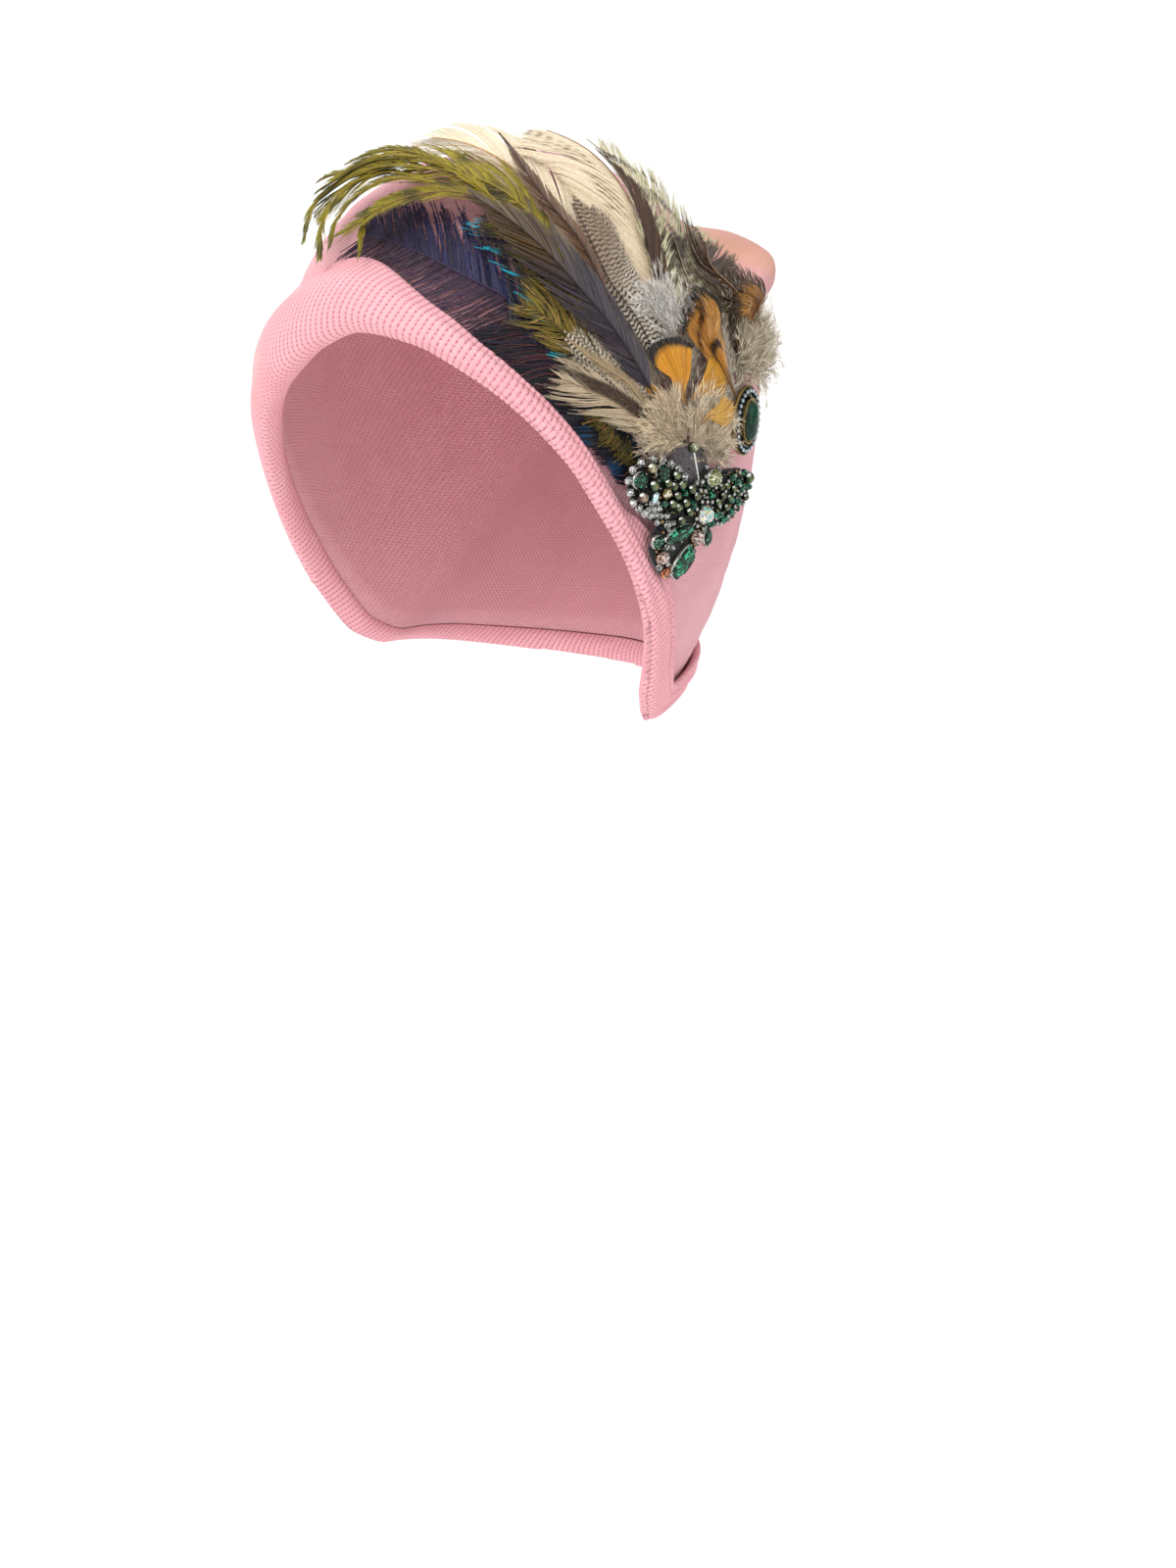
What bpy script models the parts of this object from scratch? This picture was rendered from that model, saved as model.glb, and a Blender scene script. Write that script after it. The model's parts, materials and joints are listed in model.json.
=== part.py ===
"""Flapper beanie: a soft knitted hat with a turned-up cuff, a feather spray over
the wearer's left side, a green jewel cluster and an oval brooch.

Metres, +Z up, the face opening towards -Y, the wearer's left towards +X.
The origin is the middle of the head where the hat sits.  Every shape is worked
out in millimetres from the head form below, a radius in each direction."""

import math

import bmesh
import bpy
import numpy as np
from mathutils import Vector

for old in list(bpy.data.objects):
    bpy.data.objects.remove(old)

MM = 0.001

# ---------------------------------------------------------------- main sizes, mm
HALF_WIDTH = 80.0        # crown, side to side
HALF_FRONT = 94.0        # origin to the brow
HALF_BACK = 103.0        # origin to the back of the head
CROWN_UP = 98.0          # origin to the crown's top
TAPER_DOWN = 142.0       # how far below the origin the sides would close
ROUNDNESS = 2.2          # exponent of the form, 2 is an ellipsoid
CROWN_WALL = 2.5         # knitted wall
CUFF_WALL = 3.0          # double knit of the turned-up cuff
GAP = 0.35               # left between pieces that touch
CUFF_TUCK = 8.0          # how far the crown's edge sits above the cuff's fold
FEATHER_WALL = 0.7
FEATHER_BASE = 1.3       # lowest feather above the crown
FEATHER_PITCH = 1.15     # from one layer of feathers to the next
DOWN_WALL = 3.0
BROOCH_FLOOR = 6.0       # underside of the jewel cluster above the crown form
BACKING_WALL = 1.6
OVAL_FLOOR = 5.2
OVAL_HEIGHT, OVAL_WIDTH = 25.2, 19.6
STATIONS = 64            # round the rim
CROWN_ROWS = 15          # rim to crown point

# the point that the knit's ribs run to, behind the top (degrees)
POLE_ROUND, POLE_UP = 152.0, 47.0
# the middle of the spray's root (degrees)
ROOT_ROUND, ROOT_UP = 79.0, -9.5

# slack of the crown that folds over at the back: elevation, mm of slack
SLOUCH_COLUMNS = ("up_deg", "slack_mm")
SLOUCH = (
    (90, 0.0), (70, 0.0), (58, 0.3), (50, 1.0), (44, 2.5), (39, 7.0), (35, 14.5),
    (32, 21.5), (29.5, 24.5), (27, 22.5), (25, 17.0), (22, 12.5), (10, 9.5),
    (-5, 8.0), (-20, 6.0), (-40, 3.0), (-60, 0.5), (-90, 0.0),
)
SLOUCH_ROUND, SLOUCH_FULL, SLOUCH_GONE = 140.0, 12.0, 80.0

# the cuff: where its fold runs, and its section there
RIM_COLUMNS = ("round_deg", "fold_up_deg", "roll_mm", "bulge_mm", "ledge_mm")
RIM = (
    (-180, -55, 24, 4.6, 0), (-130, -56, 20, 4.2, 0), (-100, -56, 20, 4.6, 0),
    (-86, -53, 21, 5.0, 0), (-76, -45, 22, 5.6, 0), (-66, -33, 24, 6.2, 0),
    (-57, -21, 25, 6.2, 0), (-50, -12, 26, 6.4, 0), (-42, -2.5, 28, 7.4, 0),
    (-32, 8, 30, 9.6, 0), (-20, 16, 32, 12.4, 0), (-10, 22.5, 28.5, 13.0, 0),
    (0, 26, 19.5, 11.0, 0), (14, 24, 11.0, 9.3, 0), (25, 19.2, 7.6, 8.3, 0),
    (35, 12.0, 6.6, 7.0, 0), (45, 1.5, 6.4, 6.0, 0), (54, -11.3, 5.8, 5.4, 0),
    (60, -20.2, 6.6, 5.0, 4), (66, -29.4, 8.2, 4.8, 6), (73, -41, 13, 4.5, 3),
    (82, -56.5, 14.5, 4.4, 0), (94, -61.5, 13.5, 4.0, 0), (115, -59.5, 12.5, 3.8, 0),
    (150, -56.5, 17, 4.0, 0), (180, -55, 24, 4.6, 0),
)

# the feathers: layer, lift at the far end, middle rib from root to tip, half widths
FEATHER_COLUMNS = ("name", "layer", "lift_mm", "rib_deg x5 (round, up)", "left_mm", "right_mm", "look")
FEATHERS = (
    ("ostrich_navy", 0, 0.5, ((63, -2), (50, 17), (37, 32), (21, 39), (-12, 46)), 14, 15, "navy"),
    ("ostrich_teal", 1, 0.0, ((64, -5), (57, 5), (49, 14), (43, 22), (34, 29)), 10, 6, "teal"),
    ("plume_olive", 3, 9.0, ((53, 29), (38, 51), (14, 57), (-12, 55.5), (-22.5, 45)), 9, 9, "olive"),
    ("plume_olive_low", 4, 9.0, ((39, 46), (26, 51), (14, 51), (2, 47), (-6, 41)), 2, 2, "olive"),
    ("peacock_edge", 2, 2.0, ((66, 5), (54, 23), (45, 36), (37, 46), (29, 51)), 8, 4, "peacock"),
    ("olive_tuft", 3, 2.0, ((62, 12), (53, 22), (46, 27), (42, 30), (37, 32)), 5, 5, "olive"),
    ("olive_base", 2, 0.0, ((64, -4), (62, -1), (59, 2), (56, 5), (53, 9)), 3, 4, "olive"),
    ("cream_left", 1, 8.5, ((63, 31), (56, 42), (47, 54), (31, 64), (-8, 70)), 13, 10, "cream"),
    ("cream_right", 2, 8.5, ((74, 32), (78, 46), (81, 58), (79, 68), (65, 75)), 20, 3, "cream"),
    ("brown_pointed", 5, 9.0, ((57, 36), (53, 44), (46, 51), (40, 58), (31, 68)), 4, 4, "brown"),
    ("barred_fine", 4, 9.0, ((69, 24), (65, 31), (60, 37), (57, 44), (54, 52)), 3, 12, "barred"),
    ("barred_low", 5, 3.0, ((65, 11), (61, 16), (56, 19), (51, 22), (47, 25)), 3, 4, "barred"),
    ("slate_glossy", 6, 9.0, ((65, 17), (59, 26), (50, 35), (40, 43), (25, 50)), 7, 6, "slate"),
    ("green_mottled_a", 3, 9.0, ((78, 34), (79, 43), (82, 51), (85, 58), (86, 67)), 4, 6, "green"),
    ("green_mottled_b", 1, 9.0, ((83, 29), (85, 37), (90, 45), (96, 52), (102, 60)), 7, 7, "green"),
    ("green_mottled_c", 0, 9.0, ((89, 27), (88, 32), (92, 38), (99, 42), (113, 46)), 6, 7, "green"),
    ("vermiculated", 2, 9.0, ((93, 25), (91, 30), (88, 35), (90, 40), (93, 45)), 6, 6, "green"),
    ("dark_edge_a", 1, 9.0, ((99, 23), (98, 27), (96, 32), (98, 37), (104, 41)), 5, 5, "dark"),
    ("dark_edge_b", 0, 9.0, ((107, 23), (106, 26), (102, 29), (101, 32), (102, 36)), 3, 4, "dark"),
    ("golden_fan", 5, 9.0, ((76, 10), (75, 14), (75, 17), (74, 21), (74, 24)), 7, 6, "gold"),
    ("golden_b", 3, 9.0, ((92, 12), (89, 17), (86, 22), (84, 27), (81, 31)), 5, 6, "gold"),
    ("golden_c", 4, 9.0, ((78, 11), (80, 12), (83, 13), (86, 14), (89, 15)), 5, 5, "gold"),
    ("golden_d", 5, 9.0, ((79, 6), (81, 7), (83, 7), (86, 7), (89, 8)), 2, 2, "gold"),
    ("golden_narrow", 3, 9.0, ((108, 19), (106, 22), (104, 24), (100, 27), (95, 30)), 3, 3, "gold"),
    ("golden_thin", 3, 9.0, ((77, 6), (75, 8), (72, 11), (70, 13), (67, 15)), 2, 2, "gold"),
    ("striped_a", 4, 0.0, ((64, 11), (59, 14), (55, 17), (51, 19), (47, 20)), 5, 5, "striped"),
    ("striped_b", 6, 0.0, ((66, 6), (60, 10), (55, 13), (50, 15), (45, 17)), 6, 5, "striped"),
    ("fluff_white", 5, 9.0, ((79, 26), (77, 29), (76, 32), (75, 35), (74, 38)), 5, 5, "down"),
    ("fluff_left", 7, 9.0, ((75, 1), (73, 3), (69, 5), (66, 7), (63, 9)), 6, 5, "down"),
    ("fluff_mid", 7, 9.0, ((81, -1), (82, 2), (84, 5), (85, 8), (88, 11)), 6, 6, "down"),
    ("fluff_right", 4, 9.0, ((97, 14), (100, 15), (105, 17), (109, 18), (112, 20)), 5, 5, "down"),
)

# felt outline of the jewel cluster: bearing from its middle, reach
BACKING_COLUMNS = ("bearing_deg", "reach_mm")
BACKING = (
    (0, 37), (14, 33), (24, 25), (36, 18), (60, 14.5), (80, 9.5), (105, 10.5), (125, 20),
    (138, 28), (150, 33), (160, 33), (169, 30), (178, 25), (188, 20), (198, 17.5),
    (206, 21), (218, 24), (234, 26), (248, 27.5), (258, 25.5), (274, 19), (290, 15.5),
    (306, 16.5), (318, 15), (334, 23), (350, 33),
)
CLUSTER_ROUND, CLUSTER_UP = 80.2, -13.3

# stones and beads of the cluster: place in its plane, size, turn, height, shape
STONE_COLUMNS = ("name", "u_mm", "v_mm", "long_mm", "wide_mm", "turn_deg", "high_mm", "shape", "look")
STONES = (
    ("stone_round_a", -27.6, 12.4, 6.2, 6.2, 0, 3.0, "round", "emerald"),
    ("stone_round_b", -17.4, 14.2, 6.2, 6.2, 0, 3.0, "round", "emerald"),
    ("stone_olive", 8.9, 9.2, 7.0, 6.6, 0, 3.4, "round", "olive_glass"),
    ("stone_aurora", 5.6, -3.6, 7.4, 7.0, 0, 3.6, "round", "aurora"),
    ("stone_navette_a", -7.3, -8.5, 15.0, 6.0, 12, 3.2, "navette", "emerald"),
    ("stone_oval_dark", -17.9, -10.4, 5.0, 4.4, 60, 2.8, "round", "emerald"),
    ("stone_rose_clear", 2.2, -11.3, 5.4, 5.2, 0, 3.0, "round", "rose_glass"),
    ("stone_navette_b", 7.9, -12.0, 8.2, 3.8, 98, 2.8, "navette", "emerald"),
    ("stone_long", -4.4, -19.4, 13.6, 7.0, 46, 3.8, "cushion", "emerald"),
    ("stone_rose_small", -14.2, -16.8, 5.2, 4.8, 0, 2.8, "round", "rose_glass"),
    ("bead_a", -23.2, 16.6, 4.2, 4.2, 0, 4.0, "ball", "metal_bead"),
    ("bead_b", -22.1, 10.4, 4.2, 4.2, 0, 4.0, "ball", "metal_bead"),
    ("bead_c", -26.9, 6.7, 4.2, 4.2, 0, 4.0, "ball", "metal_bead"),
    ("bead_end", 31.9, 5.6, 4.6, 4.6, 0, 4.0, "ball", "metal_bead"),
)

OVAL_ROUND, OVAL_UP = 101.0, 3.4
OVAL_TURN = -6.0          # lean of its long side from upright


# ---------------------------------------------------------------- the form
def unit(v):
    v = np.asarray(v, float)
    return v/np.linalg.norm(v, axis=-1, keepdims=True)


def direction(round_deg, up_deg):
    t, e = np.radians(round_deg), np.radians(up_deg)
    return np.stack([np.sin(t)*np.cos(e), -np.cos(t)*np.cos(e), np.sin(e)+0*t], -1)


def angles(d):
    d = unit(d)
    return np.degrees(np.arctan2(d[..., 0], -d[..., 1])), np.degrees(np.arcsin(np.clip(d[..., 2], -1, 1)))


def smooth(x, low, high):
    t = np.clip((np.asarray(x, float)-low)/(high-low), 0, 1)
    return t*t*(3-2*t)


def through_rows(x, xs, ys, loop=None):
    """A smooth curve through the rows that never swings past them; loop is its period."""
    xs, ys = np.asarray(xs, float), np.asarray(ys, float)
    order = np.argsort(xs)
    xs, ys = xs[order], ys[order]
    if loop:
        xs = np.concatenate([xs[:-1]-loop, xs, xs[1:]+loop])
        ys = np.concatenate([ys[:-1], ys, ys[1:]])
    step = np.diff(xs)
    slope = np.diff(ys)/step
    m = np.zeros(len(xs))
    m[1:-1] = np.where(slope[:-1]*slope[1:] > 0, 2*slope[:-1]*slope[1:]/(slope[:-1]+slope[1:]+1e-12), 0)
    m[0], m[-1] = slope[0], slope[-1]
    x = np.clip(x, xs[0], xs[-1])
    i = np.clip(np.searchsorted(xs, x, side="right")-1, 0, len(step)-1)
    t = (x-xs[i])/step[i]
    return ((2*t**3-3*t**2+1)*ys[i]+(t**3-2*t**2+t)*step[i]*m[i]
            + (-2*t**3+3*t**2)*ys[i+1]+(t**3-t**2)*step[i]*m[i+1])


def radius(d):
    """Outer radius of the crown along a direction."""
    d = unit(d)
    depth = np.where(d[..., 1] < 0, HALF_FRONT, HALF_BACK)
    height = np.where(d[..., 2] > 0, CROWN_UP, TAPER_DOWN)
    flat = np.sqrt((d[..., 0]/HALF_WIDTH)**2+(d[..., 1]/depth)**2)
    r = (flat**ROUNDNESS+np.abs(d[..., 2]/height)**ROUNDNESS)**(-1/ROUNDNESS)
    round_deg, up_deg = angles(d)
    off = np.abs((round_deg-SLOUCH_ROUND+180) % 360-180)
    fade = 1-smooth(off, SLOUCH_FULL, SLOUCH_GONE)
    return r+fade*through_rows(up_deg, [row[0] for row in SLOUCH], [row[1] for row in SLOUCH])


def shell(d, h=0.0):
    d = unit(d)
    return d*(radius(d)+h)[..., None]


def normal(d, h=0.0):
    """Outward normal of the form."""
    d = unit(d)
    a = unit(np.cross([0.05, 0.02, 1.0], d))
    b = np.cross(d, a)
    e = 2e-3
    return unit(np.cross(shell(d+e*a, h)-shell(d-e*a, h), shell(d+e*b, h)-shell(d-e*b, h)))


def between(a, b, t):
    """Along the great circle from direction a to direction b."""
    t = np.asarray(t, float)[..., None]
    w = np.arccos(np.clip((a*b).sum(-1, keepdims=True), -1, 1))
    return (np.sin((1-t)*w)*a+np.sin(t*w)*b)/np.sin(w)


POLE = direction(POLE_ROUND, POLE_UP)
ROOT = direction(ROOT_ROUND, ROOT_UP)


# ---------------------------------------------------------------- the rim and the ribs
def rim_rows(round_deg, column):
    return through_rows(round_deg, [row[0] for row in RIM], [row[column] for row in RIM], loop=360.0)


def rim_stations(count):
    """Angles round the rim at even steps along the fold."""
    fine = np.linspace(-180, 180, 2881)
    p = shell(direction(fine, rim_rows(fine, 1)))
    run = np.concatenate([[0], np.cumsum(np.linalg.norm(np.diff(p, axis=0), axis=1))])
    return np.interp(np.arange(count)/count*run[-1], run, fine), run[-1]


def rib(round_deg, u_mm):
    """Direction that lies u_mm above the fold along the rib that starts there."""
    start = direction(round_deg, rim_rows(round_deg, 1))
    pole = np.broadcast_to(POLE, start.shape)
    w = np.arccos(np.clip((start*pole).sum(-1), -1, 1))
    r = radius(start)
    return between(start, pole, u_mm/r/w)


def cuff_line(roll, bulge, ledge):
    """Middle line of the cuff's wall, inner end to outer end: columns u_mm, h_mm."""
    half = CUFF_WALL/2
    rest = GAP+half
    rows = [
        (CUFF_TUCK-0.6, -CROWN_WALL/2), (CUFF_TUCK*0.55, -0.9), (1.8, 0.6), (0.0, 3.4),
        (0.8, 0.62*bulge), (0.2*roll, 0.88*bulge), (0.42*roll, bulge-half*0.6),
        (0.66*roll, 0.86*bulge), (0.86*roll, 0.55*bulge),
    ]
    if ledge > 0.5:
        rows += [(roll+0.6, rest+0.6), (roll+0.55*ledge, rest), (roll+ledge, rest)]
    else:
        rows += [(roll-0.2, rest+0.22*bulge), (roll+0.7, rest+0.5), (roll+1.0+ledge, rest)]
    return np.array(rows)


def sweep_sides(line, wall):
    """The two faces of a wall round its middle line."""
    d = np.gradient(line, axis=0)
    d /= np.linalg.norm(d, axis=1, keepdims=True)
    n = np.stack([-d[:, 1], d[:, 0]], 1)
    return line+n*wall/2, line-n*wall/2


# ---------------------------------------------------------------- feathers
def lift_share(d):
    return smooth(np.degrees(np.arccos(np.clip(unit(d)@ROOT, -1, 1))), 35, 95)


def feather_height(d, layer, lift):
    return FEATHER_BASE+FEATHER_PITCH*layer+lift*lift_share(d)


def catmull(points, t):
    """Smooth curve through the points, t from 0 to 1."""
    p = np.asarray(points, float)
    p = np.vstack([2*p[0]-p[1], p, 2*p[-1]-p[-2]])
    n = len(p)-3
    x = np.clip(np.asarray(t, float)*n, 0, n-1e-9)
    i = x.astype(int)
    f = (x-i)[:, None]
    a, b, c, d = p[i], p[i+1], p[i+2], p[i+3]
    return 0.5*(2*b+(c-a)*f+(2*a-5*b+4*c-d)*f**2+(3*b-a-3*c+d)*f**3)


def rib_frame(rib_deg, layer, lift, t):
    """Middle rib of a feather: points, normals and left-hand directions along it."""
    knots = direction(np.array([r[0] for r in rib_deg], float), np.array([r[1] for r in rib_deg], float))
    fine = np.linspace(0, 1, 200)
    d = unit(catmull(knots, fine))
    p = d*(radius(d)+feather_height(d, layer, lift))[:, None]
    run = np.concatenate([[0], np.cumsum(np.linalg.norm(np.diff(p, axis=0), axis=1))])
    at = np.interp(np.asarray(t)*run[-1], run, fine)
    d = unit(catmull(knots, at))
    p = d*(radius(d)+feather_height(d, layer, lift))[:, None]
    ahead = unit(catmull(knots, np.clip(at+0.004, 0, 1)))
    behind = unit(catmull(knots, np.clip(at-0.004, 0, 1)))
    tangent = unit(shell(ahead)-shell(behind))
    n = normal(d)
    return p, n, unit(np.cross(n, tangent)), run[-1]


def onto_layer(p, layer, lift, extra=0.0):
    d = unit(p)
    return d*(radius(d)+feather_height(d, layer, lift)+extra)[..., None]


def outline(look, t):
    """Half width of a feather along its rib, as a share of its widest."""
    if look in ("gold",):
        return 0.28+0.72*smooth(t, 0.0, 0.75)*(1-0.5*smooth(t, 0.9, 1.0))
    if look in ("navy", "teal", "down"):
        return 0.45+0.55*np.sin(np.pi*np.clip(t, 0, 1))**0.7
    return 0.25+0.75*smooth(t, 0.0, 0.3)*(1-smooth(t, 0.6, 1.0)**1.5)


CUFF_TOP = None


def above_cuff(p):
    """How far a point is past the cuff's upper edge, measured towards the pole."""
    d = unit(p)
    near = (d@CUFF_TOP.T).argmax(-1)
    edge = CUFF_TOP[near]
    toward = unit(np.cross(np.cross(edge, POLE), edge))
    return ((d-edge)*toward).sum(-1)*radius(d)


# ---------------------------------------------------------------- mesh helpers
def finish_mesh(name, verts, faces, look, smooth_shade=True):
    mesh = bpy.data.meshes.new(name)
    mesh.from_pydata([tuple(v) for v in np.asarray(verts)*MM], [], faces)
    bm = bmesh.new()
    bm.from_mesh(mesh)
    bmesh.ops.recalc_face_normals(bm, faces=bm.faces)
    if bm.calc_volume(signed=True) < 0:
        bmesh.ops.reverse_faces(bm, faces=bm.faces)
    bm.to_mesh(mesh)
    bm.free()
    if smooth_shade:
        mesh.shade_smooth()
    mesh.materials.append(material(look))
    obj = bpy.data.objects.new(name, mesh)
    bpy.context.scene.collection.objects.link(obj)
    return obj


LOOK_COLUMNS = ("look", "red", "green", "blue", "roughness", "metallic")
LOOKS = (
    ("knit_pink", 0.86, 0.44, 0.50, 0.95, 0), ("knit_pink_cuff", 0.90, 0.50, 0.56, 0.95, 0),
    ("navy", 0.03, 0.03, 0.12, 0.7, 0), ("teal", 0.01, 0.04, 0.08, 0.6, 0),
    ("olive", 0.28, 0.22, 0.01, 0.6, 0), ("peacock", 0.14, 0.14, 0.02, 0.5, 0),
    ("cream", 0.72, 0.60, 0.44, 0.7, 0), ("brown", 0.20, 0.10, 0.05, 0.6, 0),
    ("barred", 0.30, 0.26, 0.24, 0.7, 0), ("slate", 0.08, 0.06, 0.09, 0.35, 0),
    ("green", 0.32, 0.34, 0.20, 0.7, 0), ("dark", 0.04, 0.025, 0.015, 0.6, 0),
    ("gold", 0.60, 0.26, 0.02, 0.4, 0), ("striped", 0.32, 0.22, 0.13, 0.7, 0),
    ("down", 0.40, 0.34, 0.27, 0.9, 0), ("felt_black", 0.012, 0.012, 0.014, 0.9, 0),
    ("emerald", 0.005, 0.10, 0.05, 0.05, 0), ("olive_glass", 0.35, 0.36, 0.16, 0.05, 0),
    ("aurora", 0.55, 0.65, 0.62, 0.05, 0), ("rose_glass", 0.60, 0.42, 0.40, 0.05, 0),
    ("metal_bead", 0.50, 0.52, 0.36, 0.2, 1), ("gold_metal", 0.60, 0.42, 0.16, 0.3, 1),
    ("silver_metal", 0.75, 0.75, 0.72, 0.2, 1),
)


def material(look):
    if look in bpy.data.materials:
        return bpy.data.materials[look]
    row = next(r for r in LOOKS if r[0] == look)
    m = bpy.data.materials.new(look)
    m.use_nodes = True
    shader = m.node_tree.nodes["Principled BSDF"]
    shader.inputs["Base Color"].default_value = (row[1], row[2], row[3], 1)
    shader.inputs["Roughness"].default_value = row[4]
    shader.inputs["Metallic"].default_value = row[5]
    return m


def loft_loops(loops, close_round=False, cap=True):
    """Joins closed loops of equal length into one surface; caps the ends unless it is a ring."""
    count, size = len(loops), len(loops[0])
    verts = np.concatenate(loops)
    faces = []
    for i in range(count if close_round else count-1):
        j = (i+1) % count
        for k in range(size):
            l = (k+1) % size
            faces.append((i*size+k, i*size+l, j*size+l, j*size+k))
    if not close_round and cap:
        faces.append(tuple(reversed(range(size))))
        faces.append(tuple((count-1)*size+k for k in range(size)))
    return verts, faces


# ---------------------------------------------------------------- crown and cuff
def build_crown():
    at, _ = rim_stations(STATIONS)
    start = rib(at, CUFF_TUCK)
    pole = np.broadcast_to(POLE, start.shape)
    share = (np.arange(CROWN_ROWS)/CROWN_ROWS)**0.95
    outer = [shell(between(start, pole, np.full(STATIONS, s))) for s in share]
    inner = []
    for s in share:
        d = between(start, pole, np.full(STATIONS, s))
        inner.append(shell(d)-normal(d)*CROWN_WALL)
    top = shell(POLE[None])[0]
    under = (shell(POLE[None])-normal(POLE[None])*CROWN_WALL)[0]
    verts = np.concatenate(outer+inner+[[top], [under]])
    n, rows = STATIONS, CROWN_ROWS
    faces = []
    for base, flip in ((0, False), (n*rows, True)):
        for r in range(rows-1):
            for k in range(n):
                l = (k+1) % n
                q = (base+r*n+k, base+r*n+l, base+(r+1)*n+l, base+(r+1)*n+k)
                faces.append(q[::-1] if flip else q)
        tip = 2*n*rows+(1 if flip else 0)
        for k in range(n):
            l = (k+1) % n
            t = (base+(rows-1)*n+k, base+(rows-1)*n+l, tip)
            faces.append(t[::-1] if flip else t)
    for k in range(n):
        l = (k+1) % n
        faces.append((l, k, n*rows+k, n*rows+l))
    return finish_mesh("crown", verts, faces, "knit_pink")


def build_cuff():
    at, _ = rim_stations(STATIONS)
    loops = []
    for a in at:
        roll, bulge, ledge = (float(rim_rows(np.array([a]), c)[0]) for c in (2, 3, 4))
        side_a, side_b = sweep_sides(cuff_line(roll, bulge, ledge), CUFF_WALL)
        section = np.vstack([side_a, side_b[::-1]])
        d = rib(np.full(len(section), a), section[:, 0])
        loops.append(shell(d)+normal(d)*section[:, 1:2])
    verts, faces = loft_loops(loops, close_round=True)
    return finish_mesh("cuff", verts, faces, "knit_pink_cuff")


# ---------------------------------------------------------------- feathers
def build_feather(name, layer, lift, rib_deg, left, right, look):
    down = look == "down"
    wall = DOWN_WALL if down else FEATHER_WALL
    steps = {"gold": 6, "down": 5, "green": 11, "dark": 9}.get(look, 7)
    t = np.linspace(0, 1, steps+1)
    p, n, b, _ = rib_frame(rib_deg, layer, lift, t)
    share = outline(look, t)
    loops = []
    for i in range(len(t)):
        reach = []
        for side, wide in ((1, left), (-1, right)):
            w = wide*share[i]
            for _ in range(14):
                if above_cuff(onto_layer(p[i]+side*w*b[i], layer, lift)[None])[0] > 2.5 or w < 0.6:
                    break
                w *= 0.82
            reach.append(max(w, 0.6))
        across = np.array([reach[0], reach[0]*0.5, 0, -reach[1]*0.5, -reach[1]])
        line = p[i]+across[:, None]*b[i]
        low = onto_layer(line, layer, lift, -0.5*FEATHER_WALL)
        puff = (1-0.75*np.abs(np.linspace(-1, 1, 5))**2) if down else np.ones(5)
        high = onto_layer(line, layer, lift)+unit(line)*(wall*puff-0.5*FEATHER_WALL)[:, None]
        loops.append(np.vstack([low, high[::-1]]))
    verts, faces = loft_loops(loops)
    return finish_mesh(name, verts, faces, look)


# ---------------------------------------------------------------- jewels
class Plane:
    """A patch of the form seen from its own normal: u to the right, v up, h out."""

    def __init__(self, round_deg, up_deg, floor, turn=0.0):
        d = direction(np.array([float(round_deg)]), np.array([float(up_deg)]))
        self.centre = shell(d, floor)[0]
        self.n = normal(d)[0]
        self.v = unit(np.array([0, 0, 1.0])-self.n*self.n[2])
        self.u = np.cross(self.v, self.n)
        c, s = math.cos(math.radians(turn)), math.sin(math.radians(turn))
        self.u, self.v = c*self.u+s*self.v, -s*self.u+c*self.v
        self.floor = floor

    def at(self, u, v, h=0.0):
        """Bent onto the form, so the piece follows the head."""
        u, v = np.asarray(u, float), np.asarray(v, float)
        q = self.centre+u[..., None]*self.u+v[..., None]*self.v
        d = unit(q)
        return d*(radius(d)+self.floor)[..., None]+normal(d)*np.asarray(h, float)[..., None]

    def frame(self, u, v):
        """Point and axes of a small hard piece set on the bent patch."""
        p = self.at(np.array([u]), np.array([v]), np.array([0.0]))[0]
        n = normal(unit(p)[None])[0]
        a = unit(self.u-n*(self.u@n))
        return p, a, np.cross(n, a), n


def build_backing():
    plane = Plane(CLUSTER_ROUND, CLUSTER_UP, BROOCH_FLOOR)
    rows = BACKING
    bearing = np.radians(np.arange(0, 360, 10))
    reach = through_rows(np.degrees(bearing), [r[0] for r in rows]+[360], [r[1] for r in rows]+[rows[0][1]], loop=360.0)
    loops = []
    shares = (0.34, 0.67, 1.0)
    for h, order in ((0.0, shares), (BACKING_WALL, shares[::-1])):
        for s in order:
            loops.append(plane.at(s*reach*np.cos(bearing), s*reach*np.sin(bearing), np.full(36, h)))
    verts, faces = loft_loops(loops)
    return finish_mesh("spray_backing", verts, faces, "felt_black", False)


def gem_loops(shape, long, wide, high):
    """Loops of a stone from seat to table: arrays of u, v, h."""
    count = 12 if shape != "ball" else 10
    a = np.arange(count)/count*2*math.pi
    if shape == "navette":
        u = np.sign(np.cos(a))*np.abs(np.cos(a))**1.0
        v = np.sin(a)*(1-0.35*np.abs(np.cos(a))**2)
    elif shape == "cushion":
        u = np.sign(np.cos(a))*np.abs(np.cos(a))**0.7
        v = np.sign(np.sin(a))*np.abs(np.sin(a))**0.7
    else:
        u, v = np.cos(a), np.sin(a)
    if shape == "ball":
        rows = [(math.sin(x)*1.0, 0.5-0.5*math.cos(x)) for x in np.radians((18, 50, 90, 130, 162))]
    else:
        rows = [(0.80, 0.0), (1.0, 0.28), (1.0, 0.45), (0.60, 1.0)]
    return [np.stack([u*s*long/2, v*s*wide/2, np.full(count, k*high)], 1) for s, k in rows]


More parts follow.
